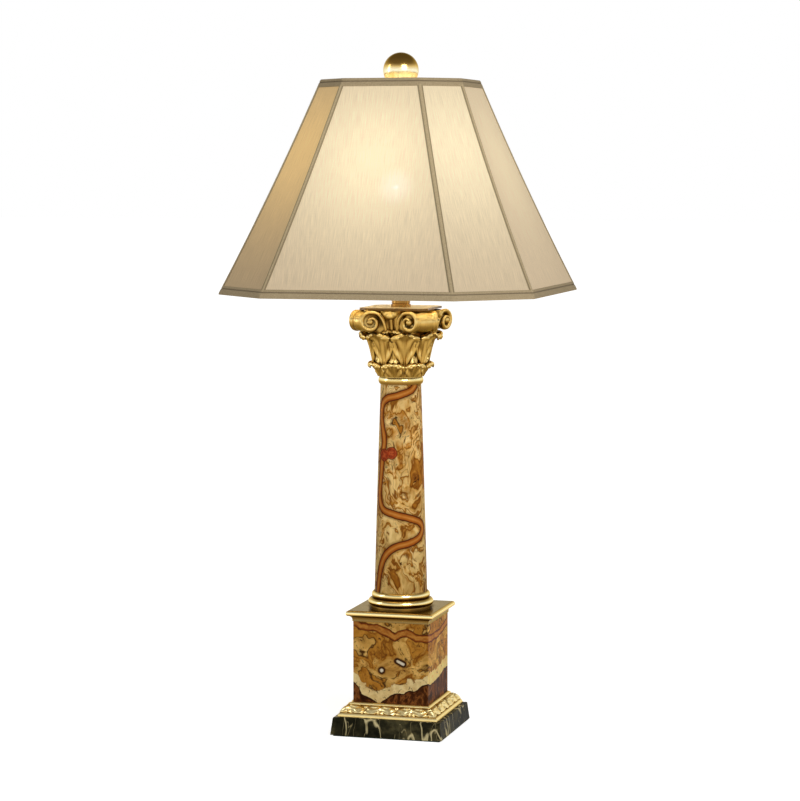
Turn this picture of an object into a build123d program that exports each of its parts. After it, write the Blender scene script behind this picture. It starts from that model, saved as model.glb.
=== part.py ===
from build123d import *
import os
from math import cos, radians, sin, sqrt, tan

# A classical column table lamp. A square marble plinth carries a gilt moulding, a stone pedestal
# block and cap, a tapered stone shaft between gilt rings, and a gilt capital with acanthus leaves
# and corner scrolls. One threaded pipe ties them together. On top stand the socket, the bulb, the
# harp and an eight-sided silk shade, held by a ball finial.
# Millimetres. +Z is up, the front faces -Y, and the origin is the middle of the resting face.

os.makedirs("parts", exist_ok=True)

# ---- Fits ----
slip = 0.3                      # between pieces that are put together by hand
running = 0.05                  # between a shaft and the hole that it turns in
edge_break = 0.8                # small rounding on cut stone edges

# ---- Threaded pipe that ties the stack together ----
pipe_diameter = 10.3
pipe_bore = 7.0
pipe_hole_radius = pipe_diameter / 2 + slip
nut_across_flats = 15.0
nut_height = 4.5
washer_diameter = 38.0
washer_thickness = 2.0
pipe_end_below_nut = 1.5

# ---- Base ----
felt_thickness = 2.0
felt_inset = 3.0
marble_side = 152.0
marble_height = 23.2
marble_draft = 2.8              # how far each side leans in over the slab's height
recess_diameter = 64.0
recess_depth = 14.5
cord_hole_radius = 5.0
cord_bore_radius = 3.5
grommet_length = 14.0
grommet_flange_radius = 6.0
grommet_flange_thickness = 1.6
grommet_height = 7.0            # of its axis above the marble's underside

moulding_foot_side = 136.0
moulding_foot_height = 3.4
moulding_height = 18.3
moulding_carved_foot_side = 130.0
moulding_neck_side = 104.0
moulding_belly = 3.0            # how far the carved face swells past a straight slope
moulding_core_side = 84.0       # the casting is an open frame inside

# ---- Pedestal ----
block_side = 103.0
block_height = 108.0
cap_side = 119.0
cap_height = 14.5
cap_roll_height = 7.4
cap_hollow = 2.2                # depth of the hollow under the roll
cap_core_side = 88.0            # the casting is hollow from below
cap_plate_thickness = 5.0

# ---- Column ----
ring_foot_radius = 39.5
ring_foot_height = 2.0
ring_core_radius = 27.0         # the casting is hollow from below
ring_core_height = 12.0
ring_height = 21.0
lower_roll_radius = 43.6
lower_roll_height = 10.2
upper_roll_radius = 39.1
shaft_bottom_radius = 35.3
shaft_top_radius = 26.9
shaft_swell = 0.35              # entasis at half height
shaft_seat_depth = 3.0
shaft_length = 277.5            # seen between the two gilt rings
astragal_height = 10.5
astragal_radius = 30.0

# ---- Capital ----
capital_height = 88.5
bell_bottom_radius = 28.0
bell_top_radius = 43.0
capital_core_radius = 23.0      # the casting is hollow
leaf_count = 8
tall_leaf_tip_radius = 53.7
tall_leaf_tip_height = 52.0     # above the capital's foot
tall_leaf_half_width = 13.6
tall_leaf_foot_half_width = 7.0
tall_leaf_lobes = 4
short_leaf_tip_radius = 37.0
short_leaf_tip_height = 14.5
short_leaf_half_width = 9.4
short_leaf_foot_half_width = 5.5
short_leaf_lobes = 2
leaf_notch_share = 0.80         # of the leaf's width left between two lobes
bract_tip_radius = 48.0         # small leaf at the middle of each side, where the ribbons start
bract_foot_height = 22.0
bract_height = 37.0
bract_half_width = 9.0
bract_foot_half_width = 4.5
bract_lobes = 3
ribbon_radius = 2.3             # of the ribbons that rise from the bracts into the scrolls
scroll_radius = 13.2
scroll_distance = 55.0          # of the scroll's axis from the lamp's axis, along the diagonal
scroll_half_length = 13.0
scroll_height = 73.3            # of the scroll's axis above the capital's foot
scroll_band = 3.4               # width of the raised spiral band
scroll_groove_depth = 2.6
scroll_eye_radius = 3.6
scroll_eye_length = 4.0
fleuron_width = 18.0
fleuron_reach = 52.0            # of its face from the lamp's axis
fleuron_stalk_radius = 2.0
abacus_thickness = 3.0
abacus_corner_distance = 58.0
abacus_corner_half_width = 8.0
abacus_side_distance = 45.0

# ---- Neck, saddle and socket ----
neck_radius = 12.4
neck_lip_radius = 13.2
neck_lip_height = 3.4
neck_height = 31.5
saddle_thickness = 1.6
saddle_width = 14.0
harp_half_span = 27.0           # of the wire's centre line at the saddle
saddle_ear_height = 12.5
cap_shell_wall = 1.0
socket_cap_radius = 17.6
socket_cap_height = 16.0
socket_radius = 16.4
socket_wall = 0.6
socket_length = 58.0
socket_lap = 5.5                # of the shell inside the cap
liner_wall = 0.8
socket_body_height = 27.0
screw_shell_wall = 0.5
screw_shell_height = 25.0
contact_radius = 4.0
contact_thickness = 1.5
switch_height = 20.0            # of the switch axis above the shell's lower edge
switch_shaft_radius = 1.6
switch_shaft_length = 18.0
knob_length = 13.0
knob_radius = 5.5
knob_root_radius = 4.2

# ---- Bulb ----
bulb_radius = 30.0
bulb_length = 108.0
bulb_neck_radius = 13.2
bulb_cap_radius = 12.9
bulb_cap_height = 24.0
bulb_wall = 0.8
bulb_contact_radius = 4.6
bulb_contact_height = 3.0

# ---- Harp ----
harp_wire_radius = 2.0
harp_half_width = 50.0
harp_top_height = 241.0         # of the wire's top above the saddle
harp_straight = 40.0            # upright run of each leg above its tongue
harp_bend_radius = 80.0
harp_shoulder_radius = 28.0
harp_top_half_flat = 24.0
sleeve_length = 14.0
sleeve_wall = 1.2
stud_radius = 3.15
stud_length = 14.0
stud_boss_radius = 6.8
stud_boss_height = 8.0

# ---- Shade ----
shade_bottom_height = 585.8     # of the lower edge above the table
shade_height = 278.7
shade_bottom_apothem = 210.3    # from the axis to the middle of a wide side, at the lower edge
shade_top_apothem = 93.8
shade_bottom_half_width = 126.3
shade_top_half_width = 50.2
shade_hollow = 3.0              # how far each panel bows in at half height
cover_thickness = 0.8
lining_thickness = 0.6
lining_edge_gap = 2.2           # the lining stops this far short of the rings
frame_wire_radius = 1.6
frame_wire_gap = 0.6            # lets the bowed ribs stay clear of the cover
ring_edge_gap = 0.4             # from the shade's edge to the ring
binding_height = 11.5
binding_thickness = 0.8
rib_trim_half_width = 3.0
rib_trim_thickness = 0.7
panel_seam_gap = 0.5
spider_hub_radius = 12.5
spider_hub_thickness = 1.6
spider_arm_count = 4

# ---- Finial ----
finial_ball_radius = 23.3
finial_neck_radius = 8.0
finial_neck_height = 6.4
finial_spigot_radius = 5.5
finial_spigot_length = 8.0
finial_wall = 2.0

# ---- Heights, from the table up ----
marble_bottom = felt_thickness
moulding_bottom = marble_bottom + marble_height
block_bottom = moulding_bottom + moulding_height
cap_bottom = block_bottom + block_height
ring_bottom = cap_bottom + cap_height
ring_top = ring_bottom + ring_height
astragal_bottom = ring_top + shaft_length
capital_bottom = astragal_bottom + astragal_height
abacus_bottom = capital_bottom + capital_height
neck_bottom = abacus_bottom + abacus_thickness
saddle_bottom = neck_bottom + neck_height
saddle_top = saddle_bottom + saddle_thickness
shell_bottom = saddle_top + socket_cap_height - socket_lap
shell_top = shell_bottom + socket_length
socket_body_bottom = shell_bottom + 1.0
contact_bottom = socket_body_bottom + socket_body_height
bulb_bottom = contact_bottom + contact_thickness + slip
bulb_centre = bulb_bottom + bulb_length - bulb_radius
harp_top = saddle_top + harp_top_height
harp_round_bottom = saddle_top + saddle_ear_height + slip
stud_boss_top = harp_top - harp_wire_radius + stud_boss_height
shade_top_height = shade_bottom_height + shade_height
hub_top = stud_boss_top + spider_hub_thickness
finial_neck_bottom = hub_top + running
finial_neck_top = finial_neck_bottom + finial_neck_height
finial_centre = finial_neck_top + sqrt(finial_ball_radius ** 2 - finial_spigot_radius ** 2)

LOW = (Align.CENTER, Align.CENTER, Align.MIN)


# ---- Shared helpers ----
def disc(radius, bottom, top):
    """Round plate or rod on the lamp's axis."""
    return Pos(0, 0, bottom) * Cylinder(radius, top - bottom, align=LOW)


def turned(edges):
    """Round piece from a closed outline of (radius, height) edges."""
    return revolve(Plane.XZ * make_face(edges), Axis.Z)


def tube(outer_radius, inner_radius, bottom, top):
    """Round tube on the lamp's axis."""
    return disc(outer_radius, bottom, top) - disc(inner_radius, bottom - 1, top + 1)


def pipe_hole(bottom, top):
    """Clearance for the threaded pipe, run a little past both faces."""
    return disc(pipe_hole_radius, bottom - 1, top + 1)


def square_moulding(edges, reach):
    """Mitred square piece from half of its section, drawn as (half side, height) edges."""
    half = make_face(edges)
    section = half + mirror(half, Plane.YZ)
    run = extrude(Plane.XZ * section, reach, both=True)
    return run & run.rotate(Axis.Z, 90)


def around(piece, count, first=0.0):
    """Copies of a piece, evenly spaced around the lamp's axis."""
    return [piece.rotate(Axis.Z, first + 360 / count * i) for i in range(count)]


def save(piece, node):
    """Write one sub-part under its own name."""
    piece.label = node
    export_step(piece, f"parts/{node}.step")


# ---- Base ----
def base_felt():
    side = marble_side - 2 * felt_inset
    pad = Box(side, side, felt_thickness, align=LOW)
    return fillet(pad.edges().filter_by(Axis.Z), felt_inset)


def marble_base():
    foot = Pos(0, 0, marble_bottom) * Rectangle(marble_side, marble_side)
    top_side = marble_side - 2 * marble_draft
    head = Pos(0, 0, moulding_bottom) * Rectangle(top_side, top_side)
    slab = loft([foot, head], ruled=True)
    slab = chamfer(slab.edges().group_by(Axis.Z)[-1], edge_break)
    slab -= disc(recess_diameter / 2, marble_bottom - 1, marble_bottom + recess_depth)
    slab -= pipe_hole(marble_bottom, moulding_bottom)
    return slab - cord_rod(cord_hole_radius + slip, 0, marble_side)


def cord_rod(radius, start, length):
    """Rod along the cord's way out at the back, from a distance behind the axis."""
    height = marble_bottom + grommet_height
    return Pos(0, start, height) * Rot(-90, 0, 0) * Cylinder(radius, length, align=LOW)


def cord_grommet():
    lean = marble_draft * grommet_height / marble_height
    face = marble_side / 2 - lean
    flange_start = face + marble_draft * grommet_flange_radius / marble_height
    body = cord_rod(cord_hole_radius, flange_start - grommet_length, grommet_length)
    flange = cord_rod(grommet_flange_radius, flange_start, grommet_flange_thickness)
    rim = (body + flange).edges().group_by(Axis.Y)[-1]
    grommet = fillet(rim, grommet_flange_thickness / 2)
    return grommet - cord_rod(cord_bore_radius, 0, marble_side)


def base_moulding():
    foot = moulding_foot_side / 2
    carved_foot = moulding_carved_foot_side / 2
    neck = moulding_neck_side / 2
    step = moulding_bottom + moulding_foot_height
    middle = ((carved_foot + neck) / 2 + moulding_belly, (step + block_bottom) / 2 + moulding_belly)
    edges = Polyline((0, moulding_bottom), (foot, moulding_bottom), (foot, step), (carved_foot, step))
    edges += ThreePointArc((carved_foot, step), middle, (neck, block_bottom))
    edges += Polyline((neck, block_bottom), (0, block_bottom), (0, moulding_bottom))
    frame = square_moulding(edges, moulding_foot_side)
    return frame - Box(moulding_core_side, moulding_core_side, 4 * block_bottom)


# ---- Pedestal ----
def pedestal_block():
    block = Pos(0, 0, block_bottom) * Box(block_side, block_side, block_height, align=LOW)
    block = fillet(block.edges().filter_by(Axis.Z), edge_break)
    return block - pipe_hole(block_bottom, cap_bottom)


def pedestal_cap():
    foot = block_side / 2 + edge_break
    roll = cap_side / 2
    roll_radius = cap_roll_height / 2
    roll_bottom = ring_bottom - cap_roll_height
    hollow_foot = (foot, cap_bottom + edge_break)
    hollow_head = (roll - roll_radius, roll_bottom)
    bend = ((foot + roll - roll_radius - cap_hollow) / 2, (cap_bottom + roll_bottom + cap_hollow) / 2)
    edges = Polyline((0, cap_bottom), (foot, cap_bottom), hollow_foot)
    edges += ThreePointArc(hollow_foot, bend, hollow_head)
    edges += ThreePointArc(hollow_head, (roll, roll_bottom + roll_radius), (roll - roll_radius, ring_bottom))
    edges += Polyline((roll - roll_radius, ring_bottom), (0, ring_bottom), (0, cap_bottom))
    casting = square_moulding(edges, cap_side) - pipe_hole(cap_bottom, ring_bottom)
    core_top = ring_bottom - cap_plate_thickness
    core = Box(cap_core_side, cap_core_side, core_top, align=(Align.CENTER, Align.CENTER, Align.MAX))
    return casting - Pos(0, 0, core_top) * core


# ---- Column ----
def column_base_ring():
    foot_top = ring_bottom + ring_foot_height
    quirk = foot_top + lower_roll_height
    lower_root = lower_roll_radius - lower_roll_height / 2
    lower_middle = (lower_roll_radius, foot_top + lower_roll_height / 2)
    seat = shaft_bottom_radius + slip
    upper_root = seat + 0.9
    edges = Polyline((pipe_hole_radius, ring_bottom), (ring_foot_radius, ring_bottom),
                     (ring_foot_radius, foot_top), (lower_root, foot_top))
    edges += ThreePointArc((lower_root, foot_top), lower_middle, (lower_root, quirk))
    edges += Line((lower_root, quirk), (upper_root, quirk))
    edges += ThreePointArc((upper_root, quirk), (upper_roll_radius, (quirk + ring_top) / 2),
                           (upper_root, ring_top))
    edges += Polyline((upper_root, ring_top), (seat, ring_top), (seat, ring_top - shaft_seat_depth),
                      (pipe_hole_radius, ring_top - shaft_seat_depth), (pipe_hole_radius, ring_bottom))
    return turned(edges) - disc(ring_core_radius, ring_bottom - 1, ring_bottom + ring_core_height)


def column_shaft():
    bottom = ring_top - shaft_seat_depth
    top = astragal_bottom + shaft_seat_depth
    middle_radius = (shaft_bottom_radius + shaft_top_radius) / 2 + shaft_swell
    edges = Line((pipe_hole_radius, bottom), (shaft_bottom_radius, bottom))
    edges += ThreePointArc((shaft_bottom_radius, bottom), (middle_radius, (bottom + top) / 2),
                           (shaft_top_radius, top))
    edges += Polyline((shaft_top_radius, top), (pipe_hole_radius, top), (pipe_hole_radius, bottom))
    return turned(edges)


def astragal_ring():
    seat = shaft_top_radius + 2 * slip
    lip = bell_bottom_radius + 0.4
    seat_top = astragal_bottom + shaft_seat_depth
    edges = Polyline((seat, seat_top), (seat, astragal_bottom), (lip, astragal_bottom))
    bulge_height = astragal_bottom + 0.47 * astragal_height
    edges += ThreePointArc((lip, astragal_bottom), (astragal_radius, bulge_height),
                           (lip, capital_bottom - 1.2))
    edges += Polyline((lip, capital_bottom - 1.2), (lip, capital_bottom), (pipe_hole_radius, capital_bottom),
                      (pipe_hole_radius, seat_top), (seat, seat_top))
    return turned(edges)


# ---- Capital ----
def bell():
    """Round core of the capital, which flares up to the abacus."""
    low = capital_bottom
    top = abacus_bottom
    core = capital_core_radius / 2
    edges = Line((core, low), (bell_bottom_radius, low))
    edges += Spline((bell_bottom_radius, low), (bell_bottom_radius + 2.5, low + 0.4 * capital_height),
                    (bell_top_radius - 6, low + 0.8 * capital_height), (bell_top_radius, top))
    edges += Polyline((bell_top_radius, top), (core, top), (core, low))
    return turned(edges)


def leaf_outline(half_width, height, foot_half_width, lobe_count):
    """Lobed leaf, seen from the front, with its foot on the bell."""
    widths = []
    heights = []
    for i in range(lobe_count + 1):
        share = i / lobe_count
        growth = sin(radians(90 * min(1.0, 1.5 * share)))
        widths.append(foot_half_width + (leaf_notch_share * half_width - foot_half_width) * growth)
        heights.append(0.84 * height * share)
    side = Line((0, 0), (widths[0], 0))
    for i in range(lobe_count):
        lower = (widths[i], heights[i])
        upper = (widths[i + 1], heights[i + 1])
        reach = (1 - leaf_notch_share) * half_width + (widths[i + 1] - widths[i]) / 2
        rise = heights[i] + 0.62 * (heights[i + 1] - heights[i])
        side += ThreePointArc(lower, (widths[i] + reach, rise), upper)
    side += ThreePointArc((widths[-1], heights[-1]), (0.6 * half_width, 0.96 * height), (0, height))
    side += Line((0, height), (0, 0))
    half = make_face(side)
    return half + mirror(half, Plane.YZ)


def tall_leaf_section(swell):
    """Side view of a tall leaf: it hugs the bell and its tip rolls out and down."""
    r = bell_bottom_radius
    tip = tall_leaf_tip_radius + swell / 2
    h = tall_leaf_tip_height
    z = capital_bottom
    front = Spline((r - 0.5 + swell, z), (r + 6.5 + swell, z + 0.46 * h), (r + 11 + swell, z + 0.72 * h),
                   (tip - 3.5, z + 0.86 * h))
    roll = ThreePointArc((tip - 3.5, z + 0.86 * h), (tip, z + 0.96 * h), (tip - 4, z + 1.06 * h))
    back = Spline((tip - 4, z + 1.06 * h), (r + 13, z + 1.02 * h), (r + 5, z + 0.8 * h),
                  (r - 4, z + 0.7 * h))
    close = Polyline((r - 4, z + 0.7 * h), (r - 4, z), (r - 0.5 + swell, z))
    return make_face(front + roll + back + close)


def short_leaf_section(swell):
    """Side view of a short leaf: a low blade with a small rolled tip."""
    r = bell_bottom_radius
    tip = short_leaf_tip_radius + swell / 2
    h = short_leaf_tip_height
    z = capital_bottom
    front = Spline((r + swell, z), (r + 3 + swell, z + 0.5 * h), (tip - 1.5, z + 0.82 * h))
    roll = ThreePointArc((tip - 1.5, z + 0.82 * h), (tip, z + h), (tip - 2, z + 1.14 * h))
    back = Spline((tip - 2, z + 1.14 * h), (r + 4, z + 1.12 * h), (r - 2, z + h))
    close = Polyline((r - 2, z + h), (r - 2, z), (r + swell, z))
    return make_face(front + roll + back + close)


def bract_section(swell):
    """Side view of a bract: it leaves the bell between the tall leaves and its tip rolls out."""
    r = bell_bottom_radius + 3
    tip = bract_tip_radius + swell / 2
    h = bract_height
    z = capital_bottom + bract_foot_height
    front = Spline((r + swell, z), (r + 5 + swell, z + 0.45 * h), (r + 9.5 + swell, z + 0.76 * h),
                   (tip - 2.5, z + 0.88 * h))
    roll = ThreePointArc((tip - 2.5, z + 0.88 * h), (tip, z + 0.96 * h), (tip - 2.5, z + 1.04 * h))
    back = Spline((tip - 2.5, z + 1.04 * h), (r + 9, z + h), (r + 3, z + 0.8 * h), (r - 4, z + 0.7 * h))
    close = Polyline((r - 4, z + 0.7 * h), (r - 4, z), (r + swell, z))
    return make_face(front + roll + back + close)


def leaf(section, rib_section, outline, rib_half_width, foot_height=0.0):
    """Leaf blade cut to its lobed outline, with a raised midrib."""
    spread = 56
    turn = revolve(Plane.XZ * section, Axis.Z, spread).rotate(Axis.Z, -spread / 2 - 90)
    rib_turn = revolve(Plane.XZ * rib_section, Axis.Z, spread).rotate(Axis.Z, -spread / 2 - 90)
    front = Plane(origin=(0, 0, capital_bottom + foot_height), x_dir=(1, 0, 0), z_dir=(0, -1, 0))
    reach = tall_leaf_tip_radius + 10
    blade = turn & extrude(front * outline, reach)
    rib_outline = outline & Rectangle(2 * rib_half_width, 4 * capital_height)
    return blade + (rib_turn & extrude(front * rib_outline, reach))


def scroll_band_face(radius, width, shrink, half_turns):
    """Flat spiral band of half-circle arcs that winds in anticlockwise from the right."""
    outer = []
    inner = []
    x = radius
    side = 1
    for i in range(half_turns):
        r = radius - i * shrink
        centre = x - side * r
        end = centre - side * r
        outer.append(ThreePointArc((x, 0), (centre, side * r), (end, 0)))
        inner_r = r - width
        inner.append(ThreePointArc((centre + side * inner_r, 0), (centre, side * inner_r),
                                   (centre - side * inner_r, 0)))
        x = end
        side = -side
    start = Line((radius - width, 0), (radius, 0))
    stop = Line(outer[-1] @ 1, inner[-1] @ 1)
    return make_face(Curve() + outer + [stop] + inner + [start])


def corner_scroll():
    """One corner's pair of scrolls, back to back, with the hollow roll between them."""
    waist = scroll_radius - 2.0
    half = scroll_half_length
    rim = half - 3.0
    edges = Polyline((0, -half), (scroll_radius, -half), (scroll_radius, -rim))
    edges += ThreePointArc((scroll_radius, -rim), (waist, 0), (scroll_radius, rim))
    edges += Polyline((scroll_radius, rim), (scroll_radius, half), (0, half), (0, -half))
    roll = revolve(Plane.XZ * make_face(edges), Axis.Z)
    band = scroll_band_face(scroll_radius + 1, scroll_band, scroll_band * 0.78, 4)
    floor = Pos(0, 0, half - scroll_groove_depth)
    face_disc = floor * extrude(Circle(scroll_radius + 2), 2 * scroll_groove_depth)
    raised = floor * extrude(band, scroll_groove_depth)
    eye_height = scroll_groove_depth + scroll_eye_length
    eye = floor * Cone(scroll_eye_radius, 0.45 * scroll_eye_radius, eye_height, align=LOW)
    end = raised + eye
    lower_cut = mirror(face_disc, Plane.XY)
    core = roll - face_disc - lower_cut
    pair = core + end + mirror(end, Plane.XY)
    lying = pair.rotate(Axis.Y, 90).rotate(Axis.X, 90)
    place = Pos(0, -scroll_distance, capital_bottom + scroll_height)
    return place * lying


def scroll_ribbon():
    """Rounded ribbon from the front bract up to the top of the right front scroll."""
    z = capital_bottom
    top = scroll_height + scroll_radius - ribbon_radius
    end = (scroll_distance - scroll_half_length) / sqrt(2)
    side = (scroll_distance + scroll_half_length) / sqrt(2)
    path = Spline((4.0, -37.5, z + 50), (6.6, -43.6, z + 62), (11.0, -45.0, z + 74),
                  (18.0, -45.6, z + 0.97 * top), (end, -side, z + top))
    return sweep(Plane(origin=path @ 0, z_dir=path % 0) * Circle(ribbon_radius), path)


def fleuron():
    """Flower at the middle of one side, under the abacus, on its short stalk."""
    half = fleuron_width / 2
    face = make_face(ThreePointArc((-half, 0), (0, 1.2), (half, 0))
                     + ThreePointArc((half, 0), (0.6 * half, -5.4), (0, -8.4))
                     + ThreePointArc((0, -8.4), (-0.6 * half, -5.4), (-half, 0)))
    front = Plane(origin=(0, 0, abacus_bottom - 1.5), x_dir=(1, 0, 0), z_dir=(0, -1, 0))
    flower = extrude(front * face, fleuron_reach)
    stalk = Spline((0, -fleuron_reach + 4, abacus_bottom - 8), (0, -fleuron_reach + 8, abacus_bottom - 20),
                   (0, -bell_bottom_radius - 10, abacus_bottom - 34))
    stem = sweep(Plane(origin=stalk @ 0, z_dir=stalk % 0) * Circle(fleuron_stalk_radius), stalk)
    return flower + stem


def capital():
    tall_outline = leaf_outline(tall_leaf_half_width, 1.1 * tall_leaf_tip_height, tall_leaf_foot_half_width,
                                tall_leaf_lobes)
    short_outline = leaf_outline(short_leaf_half_width, 1.2 * short_leaf_tip_height,
                                 short_leaf_foot_half_width, short_leaf_lobes)
    bract_outline = leaf_outline(bract_half_width, 1.08 * bract_height, bract_foot_half_width, bract_lobes)
    tall = leaf(tall_leaf_section(0), tall_leaf_section(1.4), tall_outline, 1.6)
    short = leaf(short_leaf_section(0), short_leaf_section(1.0), short_outline, 1.2)
    bract = leaf(bract_section(0), bract_section(1.0), bract_outline, 1.2, bract_foot_height)
    pieces = around(tall, leaf_count, 180 / leaf_count)
    pieces += around(short, leaf_count)
    pieces += around(bract, 4)
    pieces += around(corner_scroll(), 4, 45)
    pieces += around(scroll_ribbon(), 4)
    pieces += around(mirror(scroll_ribbon(), Plane.YZ), 4)
    pieces += around(fleuron(), 4)
    solid = bell().fuse(*pieces)
    return solid - disc(capital_core_radius, capital_bottom - 1, abacus_bottom + 1)


def abacus_plate():
    corner = abacus_corner_distance
    cut = abacus_corner_half_width
    near = ((corner - cut) / sqrt(2), -(corner + cut) / sqrt(2))
    far = ((corner + cut) / sqrt(2), -(corner - cut) / sqrt(2))
    side = ThreePointArc((-near[0], near[1]), (0, -abacus_side_distance), near) + Line(near, far)
    outline = Curve()
    for i in range(4):
        outline += side.rotate(Axis.Z, 90 * i)
    plate = Pos(0, 0, abacus_bottom) * extrude(make_face(outline), abacus_thickness)
    return plate - pipe_hole(abacus_bottom, neck_bottom)


# ---- What the pipe holds ----
def threaded_pipe():
    bottom = marble_bottom + recess_depth - washer_thickness - nut_height - pipe_end_below_nut
    return tube(pipe_diameter / 2, pipe_bore / 2, bottom, saddle_top + 5.0)


def bottom_washer():
    top = marble_bottom + recess_depth
    return tube(washer_diameter / 2, pipe_hole_radius, top - washer_thickness, top)


def bottom_nut():
    top = marble_bottom + recess_depth - washer_thickness
    hexagon = RegularPolygon(nut_across_flats / 2, 6, major_radius=False)
    nut = Pos(0, 0, top - nut_height) * extrude(hexagon, nut_height)
    return nut - disc(pipe_diameter / 2 + running, top - nut_height - 1, top + 1)


def neck_collar():
    lip_top = neck_bottom + neck_lip_height
    edges = Polyline((pipe_hole_radius, neck_bottom), (neck_lip_radius, neck_bottom),
                     (neck_lip_radius, lip_top))
    edges += ThreePointArc((neck_lip_radius, lip_top), (neck_radius - 0.6, lip_top + 0.5),
                           (neck_radius, lip_top + 1.4))
    edges += Polyline((neck_radius, lip_top + 1.4), (neck_radius, saddle_bottom - 1.5),
                      (neck_radius - 1.5, saddle_bottom), (pipe_hole_radius, saddle_bottom),
                      (pipe_hole_radius, neck_bottom))
    return turned(edges)


# ---- Saddle and socket ----
def harp_saddle():
    reach = harp_half_span + harp_wire_radius + sleeve_wall + 1.0
    strip = Pos(0, 0, saddle_bottom) * Box(2 * reach, saddle_width, saddle_thickness, align=LOW)
    strip = fillet(strip.edges().filter_by(Axis.Z), saddle_width / 3)
    saddle = strip - pipe_hole(saddle_bottom, saddle_top)
    post = disc(harp_wire_radius, saddle_top, saddle_top + saddle_ear_height)
    inner_half = Box(2 * harp_wire_radius, 4 * harp_wire_radius, 4 * saddle_top,
                     align=(Align.MAX, Align.CENTER, Align.CENTER))
    ear = Pos(harp_half_span, 0, 0) * (post & Pos(-slip / 2, 0, 0) * inner_half)
    return saddle + ear + mirror(ear, Plane.YZ)


def socket_cap():
    hub = pipe_diameter / 2 + running
    wall = cap_shell_wall
    r = socket_cap_radius
    z = saddle_top
    bend = z + 0.62 * socket_cap_height
    top = z + socket_cap_height
    edges = Polyline((hub, z), (hub + 3.5, z), (hub + 3.5, z + 2.5))
    edges += ThreePointArc((hub + 3.5, z + 2.5), (r - 2.6, z + 5.2), (r, bend))
    edges += Polyline((r, bend), (r, top), (r - wall, top), (r - wall, bend))
    edges += ThreePointArc((r - wall, bend), (r - 3.6, z + 6.6), (hub + 2.4, z + 3.9))
    edges += Polyline((hub + 2.4, z + 3.9), (hub, z + 3.9), (hub, z))
    return turned(edges)


def switch_rod(radius, start, length):
    """Rod along the switch's axis, which points to the front."""
    height = shell_bottom + switch_height
    return Pos(0, -start, height) * Rot(90, 0, 0) * Cylinder(radius, length, align=LOW)


def socket_shell():
    shell = tube(socket_radius, socket_radius - socket_wall, shell_bottom, shell_top)
    bead = Pos(0, 0, shell_top - 1.0) * Torus(socket_radius, 0.9)
    shell += bead - disc(socket_radius - socket_wall, shell_top - 3, shell_top + 1)
    return shell - switch_rod(switch_shaft_radius + 2 * slip, 0, 2 * socket_radius)


def socket_liner():
    outer = socket_radius - socket_wall - slip
    liner = tube(outer, outer - liner_wall, shell_bottom + 1, shell_top - 2)
    return liner - switch_rod(switch_shaft_radius + 2 * slip, 0, 2 * socket_radius)


def socket_body():
    radius = socket_radius - socket_wall - liner_wall - 2 * slip
    body = disc(radius, socket_body_bottom, contact_bottom)
    return body - switch_rod(switch_shaft_radius + running, 0, 2 * socket_radius)


def screw_shell():
    outer = bulb_cap_radius + slip + screw_shell_wall
    return tube(outer, bulb_cap_radius + slip, contact_bottom, contact_bottom + screw_shell_height)


def centre_contact():
    return disc(contact_radius, contact_bottom, contact_bottom + contact_thickness)


def switch_shaft():
    return switch_rod(switch_shaft_radius, 6.0, switch_shaft_length)


def switch_knob():
    start = socket_radius + 1.6
    height = shell_bottom + switch_height
    face = Plane(origin=(0, -start, height), x_dir=(1, 0, 0), z_dir=(0, -1, 0))
    grip = loft([face * Circle(knob_root_radius), face.offset(knob_length) * Circle(knob_radius)])
    grip = fillet(grip.edges().group_by(Axis.Y)[0], 1.2)
    for i in range(10):
        flute = face.offset(2.5) * Pos(knob_radius * cos(radians(36 * i)) * 1.12,
                                       knob_radius * sin(radians(36 * i)) * 1.12, 0) * Cylinder(
            1.1, knob_length, align=LOW)
        grip -= flute
    return grip - switch_rod(switch_shaft_radius, 0, 6.0 + switch_shaft_length)


# ---- Bulb ----
def bulb_profile(inset):
    """Closed outline of the glass, moved in by a wall when inset is set."""
    r = bulb_radius - inset
    neck = bulb_neck_radius - inset
    foot = bulb_bottom + bulb_cap_height - 3
    turn = Vector(r * cos(radians(30)), bulb_centre - r * sin(radians(30)))
    neck_top = (neck, bulb_centre - 1.5 * bulb_radius)
    shoulder = (r * cos(radians(30)), bulb_centre + r * sin(radians(30)))
    edges = ThreePointArc((0, bulb_centre + r), shoulder, turn)
    edges += TangentArc(turn, neck_top, tangent=(-sin(radians(30)), -cos(radians(30))))
    edges += Polyline(neck_top, (neck - 1.2, foot + 3 + inset), (neck - 1.2, foot + inset),
                      (0, foot + inset), (0, bulb_centre + r))
    return edges


def bulb_glass():
    return turned(bulb_profile(0)) - turned(bulb_profile(bulb_wall))


def bulb_cap():
    top = bulb_bottom + bulb_cap_height
    bottom = bulb_bottom + bulb_contact_height
    outside = disc(bulb_cap_radius, bottom, top)
    return outside - disc(bulb_neck_radius - 1.2 + slip / 2, top - 3, top + 1)


def bulb_contact():
    top = bulb_bottom + bulb_contact_height
    return Pos(0, 0, bulb_bottom) * Cone(0.6 * bulb_contact_radius, bulb_contact_radius + 4,
                                         top - bulb_bottom, align=LOW)


# ---- Harp ----
def harp_path():
    """Centre line of the harp's wire, from one leg over the top to the other."""
    leg = harp_half_span
    wide = harp_half_width
    low = harp_round_bottom + harp_straight
    right = [(leg, harp_round_bottom), (leg, low), (wide, low + 62), (wide, harp_top - 66),
             (harp_top_half_flat, harp_top)]
    left = [(-x, z) for x, z in reversed(right)]
    bends = [harp_bend_radius] * 3 + [harp_shoulder_radius] * 2 + [harp_bend_radius] * 3
    return Plane.XZ * FilletPolyline(*right, *left, radius=bends)


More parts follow.
